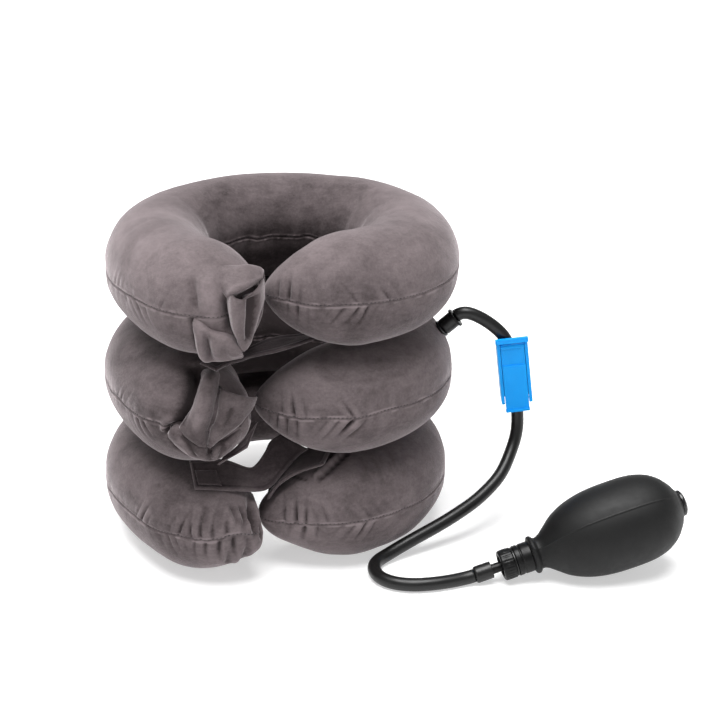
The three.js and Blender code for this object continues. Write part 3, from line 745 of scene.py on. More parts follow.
# The pleats sewn in at the ends of two left lobes, as small grids of points.
PLEATS = {
    "upper": [
        # the front of the fold, from its open lip at the top down to its point
        [[(-90, -100, 182), (-88.5, -107, 183), (-86.5, -111.5, 184.5), (-84, -112.5, 183),
          (-79.5, -110, 182), (-73.5, -97.5, 184.5), (-71.5, -89, 187), (-71, -84, 185)],
         [(-89.5, -101, 174), (-88, -108, 174.5), (-86, -112.5, 175), (-84, -113, 175),
          (-79.5, -108.5, 173), (-74, -100, 175.5), (-72, -93, 175), (-71, -86, 174)],
         [(-88, -101, 163.5), (-86.5, -108, 164), (-85, -112, 164.5), (-83, -112, 164.5),
          (-79.5, -108, 163), (-75.5, -101, 164), (-75, -94, 165), (-74, -86, 165)],
         [(-86, -100, 155), (-84, -105, 154.5), (-83, -108.5, 154.5), (-82, -108.5, 154.5),
          (-79.5, -106, 154), (-77.5, -101, 154.5), (-77, -95, 156), (-76, -87, 157)],
         [(-84, -98, 149.5), (-82.5, -102, 150), (-81.5, -105.5, 150), (-81, -106, 150),
          (-80, -103.5, 150.5), (-79, -99, 151.5), (-78.5, -93, 153), (-77, -87, 154)]],
        # the cloth of the top of the lobe, which ends in the upper lip
        [[(-96, -83, 194), (-88, -79, 190.5), (-80, -75, 187), (-74, -73, 183), (-71, -73, 179)],
         [(-96, -90, 194), (-87, -90, 193.5), (-79.5, -87, 193.5), (-73.5, -82.5, 191),
          (-71, -79, 187.5)],
         [(-95.5, -97, 188.5), (-86.5, -99, 191), (-78.5, -93.5, 192.5), (-73, -87, 190.5),
          (-71, -83, 188.5)],
         [(-93, -102, 184), (-86, -106.5, 188), (-79, -100.5, 189), (-73.5, -91.5, 188.5),
          (-71, -86.5, 188)],
         [(-90.5, -103.5, 180.5), (-86, -111, 186), (-79.5, -104.5, 187), (-74, -94, 187.5),
          (-71.5, -88.5, 187)],
         [(-89, -101, 178), (-84.5, -104.5, 182.5), (-79, -98, 184), (-74, -91, 185),
          (-72, -87, 185)]],
        # the cloth gathered up below the seam, left of the fold
        [[(-108, -101, 169), (-104, -102, 167), (-100, -102, 164), (-96, -102, 162), (-91, -102, 160),
          (-86, -102, 157), (-82, -101, 152)],
         [(-109, -107, 167), (-105, -109, 165), (-100.5, -109.5, 162), (-96, -110, 160),
          (-91, -110, 158),
          (-86.5, -110, 155), (-82, -108, 150)],
         [(-108, -106, 159.5), (-105, -110, 157.5), (-101, -103, 155.5), (-97.5, -110.5, 154),
          (-92, -107, 151.5), (-87, -108, 149), (-82, -105, 148)],
         [(-107.5, -101, 150), (-105, -106, 148), (-100.5, -99.5, 148), (-97, -105, 146.5),
          (-92, -103, 145.5), (-87, -104.5, 146), (-82, -102, 146)],
         [(-106.5, -95, 142), (-103.5, -97, 140.5), (-100, -97, 141), (-96.5, -98, 141.5),
          (-92, -99, 142.5),
          (-87.5, -100, 144), (-82.5, -99, 144.5)],
         [(-104, -88, 143), (-102, -89, 142.5), (-99, -89, 143), (-96, -89, 143), (-92, -89, 144),
          (-88, -90, 146), (-84, -90, 147)]],
    ],
    "middle": [
        # a loose flap over the end of the lobe, open at the top
        [[(-98, -86, 120.5), (-97, -91.5, 123.5), (-93, -98, 123), (-86, -97, 120),
          (-79.5, -89, 115.5),
          (-76.5, -80, 112)],
         [(-98.5, -94, 116.5), (-96.5, -100.5, 118), (-90.5, -104, 118.5), (-84.5, -100.5, 116),
          (-79.5, -93, 113.5), (-77, -84, 111)],
         [(-99.5, -97, 109.5), (-98, -103.5, 110), (-92.5, -108, 111), (-87, -104, 110),
          (-82, -98, 109), (-79, -88, 108)],
         [(-101.5, -101, 101.5), (-100.5, -106, 102), (-96, -109, 103.5), (-90.5, -106, 104),
          (-84.5, -101, 105.5), (-82, -91, 105)],
         [(-103, -101, 93), (-102.5, -105.5, 92.5), (-98.5, -107.5, 96.5), (-92.5, -104.5, 99.5),
          (-85, -99.5, 104), (-82.5, -90, 103.5)],
         [(-102, -98, 90.5), (-101.5, -101, 90.5), (-98, -102, 94), (-92, -99, 97.5),
          (-85.5, -94, 101.5),
          (-83, -88, 102)]],
        # the full column between the two grooves
        [[(-107, -77, 127), (-103, -82, 130), (-100, -83, 130), (-97.5, -81, 127), (-97, -76, 122)],
         [(-108, -83, 127), (-104.5, -90, 130), (-100.5, -92, 130.5), (-97.5, -87, 127),
          (-97.5, -80, 122)],
         [(-110, -93, 121), (-106, -101, 124.5), (-101.5, -103, 124.5), (-98.5, -97, 121),
          (-98.5, -90, 117)],
         [(-113, -99, 113), (-108.5, -107, 115.5), (-103.5, -108.5, 115.5),
          (-100.5, -102.5, 112), (-100.5, -95, 108)],
         [(-118, -101, 105), (-112, -108, 105), (-107, -109.5, 103.5), (-103.5, -104.5, 100.5),
          (-103, -98, 97)],
         [(-119.5, -102, 101.5), (-113.5, -108, 99), (-108.5, -109, 96), (-105, -106, 93),
          (-103.5, -101, 89.5)],
         [(-118, -100, 97), (-113, -102, 94), (-108.5, -103, 90.5), (-105, -102, 88),
          (-103, -101, 87)]],
        # the lower panel folded up under both
        [[(-122, -98, 102), (-117, -99, 101), (-111, -100, 98), (-106, -100, 94), (-102.5, -99, 91.5),
          (-97, -99, 94), (-92, -97, 97), (-86, -93, 102)],
         [(-124, -102, 102), (-118, -105, 99.5), (-112, -107, 96), (-106, -107, 91.5),
          (-102.5, -104, 88.5),
          (-97.5, -106, 92), (-92, -104, 95), (-85.5, -99, 101)],
         [(-126, -101, 98), (-121, -106, 95), (-114.5, -108, 91.5), (-108.5, -108, 88),
          (-102.5, -105.5, 86),
          (-96, -106, 89), (-90, -103, 92.5), (-84, -97, 98.5)],
         [(-124.5, -99, 94), (-120, -101, 89), (-114, -102.5, 85), (-108.5, -102, 82.5),
          (-102.5, -101, 81.5),
          (-95.5, -100, 84), (-89.5, -97, 88), (-84, -92, 94)],
         [(-122, -95, 92), (-118, -95, 86), (-113, -94, 82), (-108, -93, 80), (-102, -92, 79.5),
          (-96, -91, 82), (-90, -89, 86), (-84.5, -86, 92)]],
    ],
    "lower": [],
}


# In these folds a crease's dark is painted shade in the groove or hollow, and the lightened lines are
# painted highlights on ridges.
def fold_upper_front(s):
    s.crease([(-80.5, -109, 153.5), (-76, -106, 163), (-70.5, -99, 173)], 0.9, 0.9, lip=0.5, dark=0.8,
             fade=(0.05, 0.1))
    s.paint_highlight_along_x(-85.2, 1.2, 0.12)
    s.crease([(-76.5, -104, 182), (-76.8, -104, 174), (-77.5, -104.5, 164), (-78.5, -103.5, 155)],
             4.4, 5.0, dark=1.3, fade=(0.05, 0.1))


def fold_upper_gathers(s):
    s.paint_highlight_along_x(-104.5, 1.5, 0.10)


def fold_middle_flap(s):
    s.crease([(-88.5, -104, 118), (-90.5, -107, 111), (-95, -108, 104)], 2.2, 1.8, dark=0.4)
    s.crease([(-97.5, -91, 122), (-98.5, -98, 113), (-101, -102, 103)], 3.2, 3.5, dark=1.3,
             fade=(0.05, 0.1))


def fold_middle_column(s):
    s.crease([(-97, -80, 126), (-98.5, -93, 117), (-100.5, -99, 109), (-103.5, -103, 98)], 2.6, 3.0,
             dark=1.3, fade=(0.05, 0.1))
    s.crease([(-108, -83, 127), (-110, -94, 121), (-113.5, -101, 112), (-119, -103, 103)], 1.9, 1.2,
             dark=0.9, fade=(0.1, 0.1))
    s.ridge([(-103, -90, 130), (-105, -103, 121), (-107, -108.5, 112), (-110, -109.5, 102)], 1.8, 0.8,
            light=0.35, fade=(0.1, 0.1))


def fold_middle_lower(s):
    s.crease([(-118, -105, 99), (-113, -108, 93), (-110, -106, 86)], 1.5, 1.8, lip=0.8, dark=0.9,
             fade=(0.1, 0.1))
    s.crease([(-102.5, -104.5, 90), (-102.5, -106, 86), (-102, -102, 80)], 1.7, 1.8, dark=1.0,
             fade=(0.05, 0.1))
    s.crease([(-94, -105, 94), (-96, -106, 89), (-98, -102, 83)], 1.3, 1.2, lip=0.6, dark=0.6,
             fade=(0.1, 0.1))


PLEAT_FOLDS = {
    ("upper", 0): fold_upper_front,
    ("upper", 2): fold_upper_gathers,
    ("middle", 0): fold_middle_flap,
    ("middle", 1): fold_middle_column,
    ("middle", 2): fold_middle_lower,
}
PLEAT_THICKNESS = 1.5


def pleat_arrays(name):
    """Points, faces and tone of a ring's pleats."""
    made = []
    # Painted shade over the pleats, as at the ring's left front.
    darker = 0.8 * RINGS[name]["pile_and_painted_shading"][2]
    for number, control in enumerate(PLEATS[name]):
        grid = quilt(control)
        sculpt = Sculpt(grid, grid_normals(grid))
        sculpt.push += 0.35 * noise(grid, 9, 61 + number) + 0.12 * noise(grid, 4, 71 + number)
        if (name, number) in PLEAT_FOLDS:
            PLEAT_FOLDS[name, number](sculpt)
        sculpt.tone -= darker
        # Painted shade along each pleat's edges, where it tucks in.
        for edge in (np.s_[:1], np.s_[-1:], np.s_[:, :1], np.s_[:, -1:]):
            sculpt.tone[edge] -= 0.4
        made.append(cloth_arrays(sculpt.moved(), PLEAT_THICKNESS, tone=sculpt.tone))
    return made


def sculpt_lower_right(s):
    """A strip folded in at the lobe's top, and the hem that runs from it to the neck side."""
    s.ridge([(-26, -54, 66.5), (-31, -61, 65.5), (-37, -68, 62.5),
             (-44.5, -73.5, 57.5)], 1.5, 2.6, light=0.25,
            fade=(0.1, 0.05))
    s.crease([(-23, -56, 66.5), (-28, -63.5, 65), (-34.5, -71, 61.5),
              (-43, -77, 56)], 1.3, 1.8, dark=0.7,
             fade=(0.1, 0.1))
    s.crease([(-30, -54, 66.5), (-35, -61, 64.5), (-41, -67, 60.5),
              (-46.5, -71.5, 57)], 1.1, 1.4, dark=0.6,
             fade=(0.1, 0.1))
    s.crease([(-62, -58, 52), (-55, -68, 55), (-47, -75, 56)], 0.9, 0.9, lip=0.5, dark=0.6,
             fade=(0.1, 0.1))
    s.pull((-69, -76, 27), 17, (-4.5, -1.5, -2.0))
    s.pull((-71, -72, 40), 12, (-3.0, -1.0, 0))


SCULPTED = {
    "upper": (sculpt_upper_left,),
    "middle": (sculpt_middle_left,),
    "lower": (sculpt_lower_left, sculpt_lower_right),
}

def seam_stitches(points, normals, sides=6):
    """Short dashes of thread just above a seam. Returns points and faces."""
    pitch, long, thick, proud, above, clear = 2.4, 1.35, 0.30, 0.16, 0.55, 6.0
    bow = np.array([-0.30, 0.12, 0.12, -0.30]) + proud
    made, faces = [], []
    line = points + np.array([0, 0, above])
    along = run_of(line)
    for number, start in enumerate(np.arange(clear, along[-1] - clear, pitch)):
        at = start + np.linspace(0, long, len(bow))
        out = unit(at_run(at, along, normals))
        path = at_run(at, along, line) + out * bow[:, None]
        direction = unit(np.gradient(path, axis=0))
        side = unit(np.cross(direction, out))
        made.append(tube_points(path, side, np.cross(side, direction), thick, sides))
        faces += tube_faces(len(bow), sides, number * len(bow) * sides)
    return np.vstack(made), faces


def finish_ring_piece(piece, name, replaced=()):
    """Rides a piece on its ring's body, hides the CAD pieces it stands in for, and gives it a mesh of
    its own.
    """
    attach(piece, RING_BODY[name])
    if replaced:
        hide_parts(*replaced)
    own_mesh(piece)


def build_ring(name):
    ring = RINGS[name]
    stations, length = ring_stations(ring, ROWS)
    angles = ring_angles(COLUMNS)
    distance, angle = np.meshgrid(stations, angles, indexing="ij")
    base = ring_points(ring, distance, angle)
    sculpt = Sculpt(base, surface_normals(base))
    sculpt_body(sculpt, ring, distance, angle)
    sculpt_seams(sculpt, name, ring, distance, angle, length)
    for sculpt_part in SCULPTED[name]:
        sculpt_part(sculpt)
    shaped = sculpt.moved()
    shaped[..., 2] = np.maximum(shaped[..., 2], LEAST_Z)
    tips = np.stack([shaped[0].mean(0), shaped[-1].mean(0)])
    points = np.vstack([shaped.reshape(-1, 3), tips])
    faces = grid_faces(ROWS, COLUMNS, wrap=True)
    first_tip, last_tip, last_row = ROWS * COLUMNS, ROWS * COLUMNS + 1, (ROWS - 1) * COLUMNS
    for column in range(COLUMNS):
        beside = (column + 1) % COLUMNS
        faces.append((first_tip, column, beside))
        faces.append((last_tip, last_row + beside, last_row + column))
    tone = np.r_[sculpt.tone.ravel(), 0, 0]
    for pleat_points, pleat_faces, pleat_tone in pleat_arrays(name):
        first = len(points)
        points, tone = np.vstack([points, pleat_points]), np.r_[tone, pleat_tone]
        faces += [tuple(first + vertex for vertex in face) for face in pleat_faces]
    cover = make_mesh(f"{name}_cover", points, faces)
    face_outwards(cover)
    set_tone(cover, np.clip(tone, -0.8, 0.6))
    cover.data.materials.append(VELOUR)
    finish_ring_piece(cover, name, (f"{name}_top_panel", f"{name}_bottom_panel", f"{name}_bladder"))

    normals = surface_normals(shaped)
    all_points, all_faces = [], []
    for column in (0, COLUMNS // 2):
        made, faces = seam_stitches(shaped[:, column], normals[:, column])
        first = sum(len(p) for p in all_points)
        all_points.append(made)
        all_faces += [tuple(first + i for i in face) for face in faces]
    stitches = make_mesh(f"{name}_seam_stitches", np.vstack(all_points), all_faces)
    face_outwards(stitches)
    stitches.data.materials.append(THREAD)
    finish_ring_piece(stitches, name)


for ring_name in RINGS:
    build_ring(ring_name)


# ------------------------------------------------------------------ closing straps
def strap_grid(front, back, steps=70, columns=22, from_to=(0, 1), across=(0, 1), lift=0.0):
    """A grid of points between a strap's two edges, or over a part of it, lift above its middle."""
    u = np.linspace(*from_to, steps)

    def edge(control):
        line = spaced(spline(control), 0.5)
        return at_run(u, np.linspace(0, 1, len(line)), line)

    v = np.linspace(*across, columns)[None, :, None]
    grid = edge(front)[:, None] * (1 - v) + edge(back)[:, None] * v
    normals = unit(np.cross(np.gradient(grid, axis=1), np.gradient(grid, axis=0)))
    wave = 0.5 * noise(grid, 14, 5) + 0.15 * noise(grid, 5, 6)
    return grid + normals * (wave + lift)[..., None] + COLLAR


# The straps' edges, measured from the neck axis. flat is the cut size in metres. The two tone numbers
# are painted shade at a strap's first and last row, darkest where it lies in shade between the rings.
STRAPS = {
    "upper": {
        "front": [(24, -71, 143.5), (9, -75, 139.5), (-10, -79, 136.2), (-18.5, -86, 135.8),
                  (-26, -92, 135.5), (-31, -100, 135.2)],
        "back": [(22, -52, 139.5), (6, -53, 138.5), (-4, -56, 137.5), (-13, -66, 136.6),
                 (-22, -77, 136),
                 (-41, -90, 135.6)],
        "ring": "upper",
        "pile_and_painted_shading": (-0.55, -0.45),
        "flat": (0.022, 0.066),
        "patch": {"from_to": (0.72, 0.95), "across": (0.12, 0.6), "lift": -1.25},
        "rests_on": ["middle_top_panel"],
    },
    "middle": {
        "front": [(19, -64, 70.5), (12, -67, 66), (5, -73, 59.5), (-2, -80, 53.8), (-9, -87, 53.5),
                  (-25, -95.5, 58.2), (-46, -98, 60.2)],
        "back": [(2, -57, 77), (-4, -61, 74), (-7, -66, 69.5), (-12, -73, 64.6), (-17, -76, 64),
                 (-32, -77, 69.5), (-51, -77, 68.2)],
        "ring": "middle",
        "pile_and_painted_shading": (-0.45, 0.0),
        "flat": (0.020, 0.070),
        "patch": {"from_to": (0.80, 0.97), "across": (0.12, 0.6), "lift": 1.25},
        "patch_cloth": SHADED_STRAP_VELOUR,
        "rests_on": ["lower_top_panel"],
    },
    "lower": {
        "front": [(28, -76, 66), (14, -77, 61), (2, -79, 54), (-5, -82, 46)],
        "back": [(34, -54, 67.4), (18, -53, 66), (6, -56, 58), (-3, -62, 49)],
        "ring": "lower",
        "pile_and_painted_shading": (-0.1, -0.25),
        "flat": (0.022, 0.042),
        "patch": {"from_to": (0.5, 0.92), "across": (0.15, 0.85), "lift": -1.25},
        "rests_on": ["lower_top_panel"],
    },
    "tab": {
        "front": [(-32, -100, 76.5), (-24, -98, 80.5), (-15, -94.5, 85)],
        "back": [(-28, -97, 80), (-19, -94, 87), (-9, -89, 99)],
        "ring": "middle",
        "pile_and_painted_shading": (-0.3, -0.3),
        "flat": (0.010, 0.020),
        "patch": None,
        "rests_on": ["lower_top_panel"],
    },
}


def build_strap(name):
    spec = STRAPS[name]
    grid = strap_grid(spec["front"], spec["back"])
    strap = thick_sheet(f"{name}_strap_cloth", grid, 1.5, SHADED_STRAP_VELOUR, hem=0.35, hem_width=2.6,
                        pile_and_painted_shading=spec["pile_and_painted_shading"])
    finish_ring_piece(strap, spec["ring"], (f"{name}_strap",))
    if spec["patch"]:
        patch_grid = strap_grid(spec["front"], spec["back"], steps=30, columns=14, **spec["patch"])
        patch = thick_sheet(f"{name}_hook_tape", patch_grid, 0.8, spec.get("patch_cloth", HOOKS))
        finish_ring_piece(patch, spec["ring"], (f"{name}_hook_patch",))


for strap_name in STRAPS:
    build_strap(strap_name)


# ------------------------------------------------------------------ turned pieces
def rounded(profile, fillet=0.3, steps=4):
    """A closed profile of (radius, height) with each corner rounded."""
    p = np.asarray(profile, float)
    made = []
    for before, corner, after in zip(np.roll(p, 1, 0), p, np.roll(p, -1, 0)):
        a, b = before - corner, after - corner
        cut = min(fillet, 0.45 * np.linalg.norm(a), 0.45 * np.linalg.norm(b))
        start, end = corner + unit(a) * cut, corner + unit(b) * cut
        for t in np.linspace(0, 1, steps + 1):
            made.append((1 - t) ** 2 * start + 2 * (1 - t) * t * corner + t * t * end)
    return np.array(made)


def frame_along(axis):
    """Two directions square to an axis."""
    axis = unit(np.asarray(axis, float))
    helper = np.array([0.0, 0.0, 1.0]) if abs(axis[2]) < 0.9 else np.array([0.0, 1.0, 0.0])
    side = unit(np.cross(helper, axis))
    return axis, side, np.cross(axis, side)


def turned(name, profile, origin, axis, material, angles=None, bulge=None):
    """A body of revolution about an axis; bulge(profile, angles) moves the surface outwards."""
    axis, side, up = frame_along(axis)
    angles = np.linspace(0, 2 * math.pi, 72, endpoint=False) if angles is None else angles
    profile = np.asarray(profile, float)
    radius = np.repeat(profile[:, 0][:, None], len(angles), axis=1)
    if bulge is not None:
        radius = np.maximum(radius + bulge(profile[:, None, :], angles[None, :]), 0)
    around = side * np.cos(angles)[:, None] + up * np.sin(angles)[:, None]
    points = origin + profile[:, 1][:, None, None] * axis + radius[..., None] * around[None]
    count = len(angles)
    last = (len(profile) - 1) * count
    faces = grid_faces(len(profile), count, wrap=True)
    faces += [(last + c, c, (c + 1) % count, last + (c + 1) % count) for c in range(count)]
    piece = make_mesh(name, points.reshape(-1, 3), faces)
    face_outwards(piece, join_within=1e-6)
    piece.data.materials.append(material)
    return piece


def stand_in(piece, node, body):
    """Gives a piece the place of a CAD solid."""
    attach(piece, body)
    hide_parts(node)


BULB_CENTRE = np.array([202.0, -84.0, 29.2]) + COLLAR
BULB_PITCH, BULB_YAW = math.radians(15.5), math.radians(11.5)
BULB_AXIS = np.array([
    math.cos(BULB_PITCH) * math.cos(BULB_YAW),
    math.cos(BULB_PITCH) * math.sin(BULB_YAW),
    math.sin(BULB_PITCH),
])
MOULD_TURN = math.radians(135)
# The bulb's outline from the neck to the tail as (radius, height), then its bead, tail and bore.
BULB_OUTLINE = [
    (10, -46), (14, -41), (19.2, -34), (23.5, -24), (26, -12), (26.7, 2), (26.2, 16), (23.6, 26),
    (19.2, 33), (13.4, 38), (9.8, 40), (8.3, 41.2),
]
BULB_BEAD = [
    (7.0, -53.4), (10.2, -53.4), (11.1, -52.9), (11.5, -52.0), (11.3, -51.0), (10.6, -50.3),
    (9.7, -49.7), (9.4, -48.8), (9.6, -47.4),
]
BEAD_MIDDLE = -51.8
BULB_TAIL = [(7.9, 41.3), (7.2, 41.2)]
BULB_BORE = [(6.6, 40.6), (6.6, -52.8)]


def mould_line(point, angle):
    """The low ridge where the mould's halves met, and the flash it leaves on the bead."""
    radius, height = point[..., 0], point[..., 1]
    away = np.abs(np.sin(angle - MOULD_TURN)) * radius
    line = 0.30 * bell(away, 0.40) * (radius > 9)
    return line + 0.75 * bell(away, 1.3) * bell(height - BEAD_MIDDLE, 1.4)


def build_bulb():
    outline = spaced(spline([(r, 0, z) for r, z in BULB_OUTLINE], 10), 1.1)[1:, [0, 2]]
    profile = np.vstack([BULB_BEAD, outline, BULB_TAIL, BULB_BORE])
    even = np.arange(150) * 2 * math.pi / 150
    angles = even - 0.40 * np.sin(2 * even) + MOULD_TURN
    piece = turned("bulb_skin", profile, BULB_CENTRE, BULB_AXIS, BULB, angles, mould_line)
    stand_in(piece, "squeeze_bulb", "base")


build_bulb()


def knurl(count, depth, low, high):
    """Grip ridges round a turned piece between two heights."""
    def bulge(point, angle):
        wave = np.clip(np.cos(count * angle) * 1.6, -1, 1)
        height = point[..., 1]
        band = smoothstep(low, low + 0.5, height) * (1 - smoothstep(high - 0.5, high, height))
        return depth * wave * band * (point[..., 0] > 8)

    return bulge


def build_turned(name, profile, node, body, material, slot, fillet=0.3, origin=BULB_CENTRE,
                 axis=BULB_AXIS, **shape):
    piece = turned(name, rounded(profile, fillet), origin, axis, material, **shape)
    stand_in(piece, node, body)


build_turned(
    "valve_nozzle",
    [(2.6, -84), (3, -84), (3, -72), (3, -63.4), (9.1, -63.4), (9.1, -60.6), (8.7, -60.2),
     (8.7, -59.6),
     (9.1, -59.2), (9.1, -53.9), (6.2, -53.9), (6.2, -40), (2.6, -40), (2.6, -50), (1.2, -50),
     (1.2, -52),
     (2.6, -52)],
    "valve_body", "base", SATIN, "hard_plastic",
)
build_turned("valve_seal", [(3.4, -64.7), (8.6, -64.7), (8.6, -63.7), (3.4, -63.7)],
             "collar_seal", "base", HOSE, "hose_rubber", fillet=0.25)
build_turned(
    "release_knob",
    [(3.35, -68), (6.6, -68), (6.6, -72.6), (8.4, -72.6), (9.1, -71.9), (9.1, -68.6), (9.1, -65),
     (3.35, -65)],
    "release_collar", "release_collar", SATIN, "hard_plastic", fillet=0.35,
    bulge=knurl(30, 0.12, -71.6, -65.4), angles=np.linspace(0, 2 * math.pi, 180, endpoint=False),
)
build_turned("hose_end_cuff", [(3.4, -89), (4.5, -89), (5.1, -88.2), (5.1, -78.4), (3.4, -78.4)],
             "hose_cuff", "base", HOSE, "hose_rubber", fillet=0.45)
build_turned(
    "intake_plug",
    [(1.3, 42), (4.6, 42), (4.6, 34), (6.2, 34), (6.2, 41.4), (8, 41.4), (8, 43), (6.4, 44.2),
     (1.3, 44.6)],
    "intake_cap", "base", GLOSS, "hard_plastic", fillet=0.45,
)
# The valves' inner pieces keep their CAD shapes.
for node, material in (
    ("outlet_ball", HOSE), ("ball_stop", SATIN), ("intake_flap", HOSE), ("flap_keeper", SATIN),
):
    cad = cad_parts[node]
    cad.data.materials.clear()
    cad.data.materials.append(material)

# ------------------------------------------------------------------ air port
PORT_TILT = math.radians(41)
PORT_ANGLE = math.radians(40)
PORT = np.array([
    RINGS["middle"]["shift"] + RING_RADIUS + HALF_WIDTH_BACK * math.cos(PORT_ANGLE) + 0.8,
    0.0,
    LOWER_SEAM_Z + RING_PITCH + HALF_HEIGHT * math.sin(PORT_ANGLE) + 0.6,
]) + COLLAR
PORT_AXIS = np.array([math.cos(PORT_TILT), 0.0, math.sin(PORT_TILT)])
at_port = {"origin": PORT, "axis": PORT_AXIS}
build_turned(
    "port_disc",
    [(2.2, -7), (3.2, -7), (3.2, 0), (5.6, 0), (5.6, 1.4), (3.6, 1.9), (3.2, 3), (3.2, 10.9),
     (2.2, 10.9)],
    "port_flange", "hose_port", GLOSS, "hard_plastic", fillet=0.4, **at_port,
)
build_turned(
    "port_sleeve",
    [(3.5, 1.7), (5.0, 1.7), (5.3, 2.6), (5.3, 10.2), (5.3, 12.2), (3.5, 12.2)],
    "hose_sleeve", "hose_port", HOSE, "hose_rubber", fillet=0.35, **at_port,
)
build_turned("port_band", [(5.55, 10.8), (6.3, 10.8), (6.3, 12.2), (5.55, 12.2)],
             "sleeve_band", "hose_port", SATIN, "hard_plastic", fillet=0.3, **at_port)


# ------------------------------------------------------------------ air links between rings
def build_link(name, ring_name, lower, upper):
    place = np.array([
        (RINGS[lower]["shift"] + RINGS[upper]["shift"]) / 2,
        RING_RADIUS,
        LOWER_SEAM_Z + (RINGS[lower]["order"] + 0.5) * RING_PITCH,
    ]) + COLLAR
    profile = rounded([(2.5, -8), (4, -8), (4, 8), (2.5, 8)], 0.4)
    piece = turned(f"{name}_skin", profile, place, (0, 0, 1), HOSE)
    finish_ring_piece(piece, ring_name, (name,))


build_link("lower_air_link", "lower", "lower", "middle")
build_link("upper_air_link", "middle", "middle", "upper")

# ------------------------------------------------------------------ air hose
HOSE_RADIUS = 4.0
SMOOTHINGS = 6
# The hose's middle line, measured from the neck axis.
HOSE_ROUTE = [
    (109.5, 0, 132.5), (111.2, 0, 133.9), (114, 0, 134.9), (118.6, 0, 134.2), (124.2, 0, 131.7),
    (130.8, 0, 127.6), (136.8, 0, 122.6), (140.8, 0, 117.9), (143, 0, 113), (144.6, 0, 105.5),
    (147, 0, 93), (149.3, 0, 79), (150.1, -0.6, 68), (150.1, -3, 57.5), (147, -8.5, 47),
    (138.6, -22, 34), (125.2, -35, 24.8), (112.2, -45.5, 19.6), (99.5, -54, 15.2), (87, -61.5, 11.4),
    (75.5, -68, 7.6), (67, -74, 5), (60.5, -81, 4.2), (58.3, -90, 4.2), (61.5, -101, 4.2),
    (70, -108, 4.2), (81, -110.4, 4.2), (93, -109, 4.2), (104, -105.8, 4.2), (110, -103.3, 4.2),
    (114.8, -101.9, 4.6),
]
HOSE_END = BULB_CENTRE + BULB_AXIS * -89.3 - COLLAR


def build_hose(sides=32):
    route = np.array(HOSE_ROUTE + [tuple(HOSE_END)]) + COLLAR
    path = spaced(spline(route, 14), 1.6)
    for _ in range(SMOOTHINGS):
        path[1:-1] = 0.25 * path[:-2] + 0.5 * path[1:-1] + 0.25 * path[2:]
    path[:, 2] = np.maximum(path[:, 2], HOSE_RADIUS + 0.05)
    tangent = unit(np.gradient(path, axis=0))
    side = np.cross(tangent[0], (0.0, 0.0, 1.0))
    across = []
    for direction in tangent:
        side = unit(side - direction * (side @ direction))
        across.append(side)
    points = tube_points(path, np.array(across), np.cross(tangent, across), HOSE_RADIUS, sides)
    piece = make_mesh("hose_tube", points, tube_faces(len(path), sides))
    face_outwards(piece)
    piece.data.materials.append(HOSE)
    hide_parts("air_hose")
    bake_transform(piece)


build_hose()


# ------------------------------------------------------------------ pinch clamp
def softened(node, material, body, width=0.35):
    """The node's shape with its sharp edges rounded, as a moulding has them."""
    piece = bpy.data.objects.new(f"{node}_moulding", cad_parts[node].data.copy())
    bpy.context.scene.collection.objects.link(piece)
    work = bmesh.new()
    work.from_mesh(piece.data)
    bmesh.ops.remove_doubles(work, verts=work.verts, dist=2e-6)
    bmesh.ops.dissolve_limit(work, angle_limit=math.radians(3), verts=work.verts, edges=work.edges)
    work.to_mesh(piece.data)
    work.free()
    bevel = piece.modifiers.new("rounded edges", "BEVEL")
    bevel.width = width * MM
    bevel.segments = 3
    bevel.limit_method = "ANGLE"
    bevel.angle_limit = math.radians(40)
    bevel.harden_normals = False
    piece.data.materials.clear()
    piece.data.materials.append(material)
    piece.data.shade_smooth()
    normals = piece.modifiers.new("even shading", "WEIGHTED_NORMAL")
    normals.keep_sharp = False
    stand_in(piece, node, body)


softened("clamp_body", BLUE, "hose_port")
softened("clamp_lever", BLUE, "clamp_lever", width=0.3)
softened("clamp_pin", BLUE, "hose_port", width=0.15)


# ------------------------------------------------------------------ floor, lights, camera
FLOOR_GLOW = 0.50
SKY_LIGHT, HORIZON_LIGHT = 0.34, 1.0
FADE_UP = (0.06, 0.28)                    # from the horizon's light to the sky's
SUN = {"place": (-0.15, -0.40, 3.0), "target": (0, 0, 0.1), "energy": 4.7, "angle": math.radians(40)}
SOFTBOX = {"place": (-0.8, 0.55, 0.95), "target": (-0.1, 0, 0.18), "energy": 7.0, "size": 0.6}
CAMERA_PLACE = (-0.017, -0.9311, 0.4614)
CAMERA_TILT = math.radians(90 - 21)
LENS = 79.5


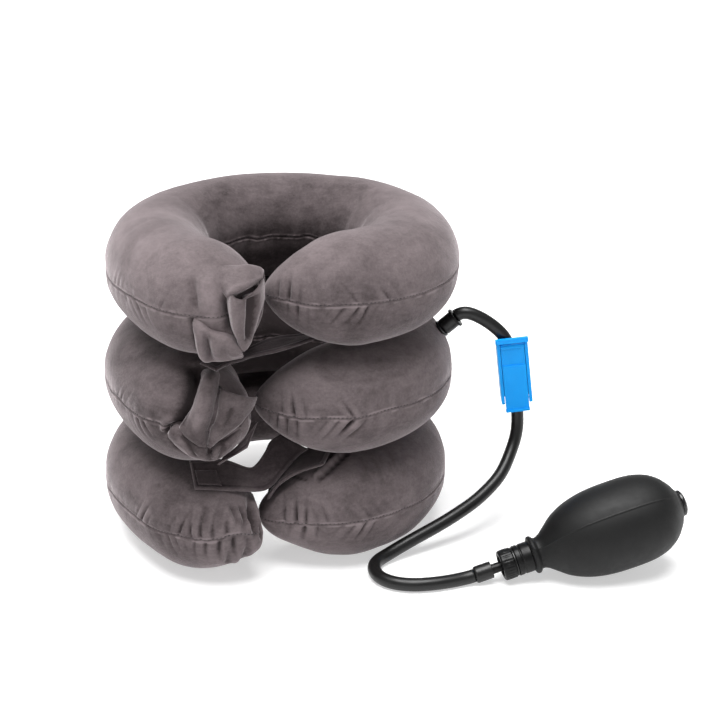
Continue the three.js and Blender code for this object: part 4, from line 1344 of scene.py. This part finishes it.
def build_stage():
    half = 9000.0
    floor = make_mesh("floor", [(-half, -half, 0), (half, -half, 0), (half, half, 0),
                                (-half, half, 0)],
                      [(0, 1, 2, 3)], smooth=False)
    n = Nodes("floor_white")
    n.set(Roughness=0.9, Specular_IOR_Level=0.0)
    n.set(Emission_Color=(1, 1, 1, 1), Emission_Strength=FLOOR_GLOW)
    cloud = n.noise(0.6, 2.0, 0.5)
    n.colour(n.mix(cloud, (0.60, 0.60, 0.60), (0.62, 0.62, 0.62)))
    floor.data.materials.append(n.material)


def add_light(name, kind, place, target, energy, **settings):
    light = bpy.data.lights.new(name, kind)
    light.energy = energy
    for key, value in settings.items():
        setattr(light, key, value)
    lamp = bpy.data.objects.new(name, light)
    lamp.location = place
    lamp.rotation_mode = "QUATERNION"
    lamp.rotation_quaternion = (Vector(target) - Vector(place)).to_track_quat("-Z", "Y")
    bpy.context.scene.collection.objects.link(lamp)


def build_studio():
    world = bpy.data.worlds.new("studio")
    world.use_nodes = True
    tree = world.node_tree
    direction = tree.nodes.new("ShaderNodeTexCoord").outputs["Generated"]
    parts = tree.nodes.new("ShaderNodeSeparateXYZ")
    tree.links.new(direction, parts.inputs[0])
    fade = tree.nodes.new("ShaderNodeMapRange")
    for index, number in enumerate((*FADE_UP, HORIZON_LIGHT, SKY_LIGHT), start=1):
        fade.inputs[index].default_value = number
    tree.links.new(parts.outputs["Z"], fade.inputs[0])
    tree.nodes["Background"].inputs["Color"].default_value = (1, 1, 1, 1)
    tree.links.new(fade.outputs[0], tree.nodes["Background"].inputs["Strength"])
    bpy.context.scene.world = world
    add_light("overhead sun", "SUN", **SUN)
    add_light("softbox", "AREA", **SOFTBOX)


def build_camera():
    camera = bpy.data.cameras.new("camera")
    camera.lens = LENS
    camera.sensor_width = 36.0
    camera.clip_start, camera.clip_end = 0.05, 60
    holder = bpy.data.objects.new("camera", camera)
    holder.location = CAMERA_PLACE
    holder.rotation_euler = (CAMERA_TILT, 0, 0)
    bpy.context.scene.collection.objects.link(holder)
    bpy.context.scene.camera = holder


build_stage()
build_studio()
build_camera()
bpy.context.scene.view_settings.view_transform = "Standard"
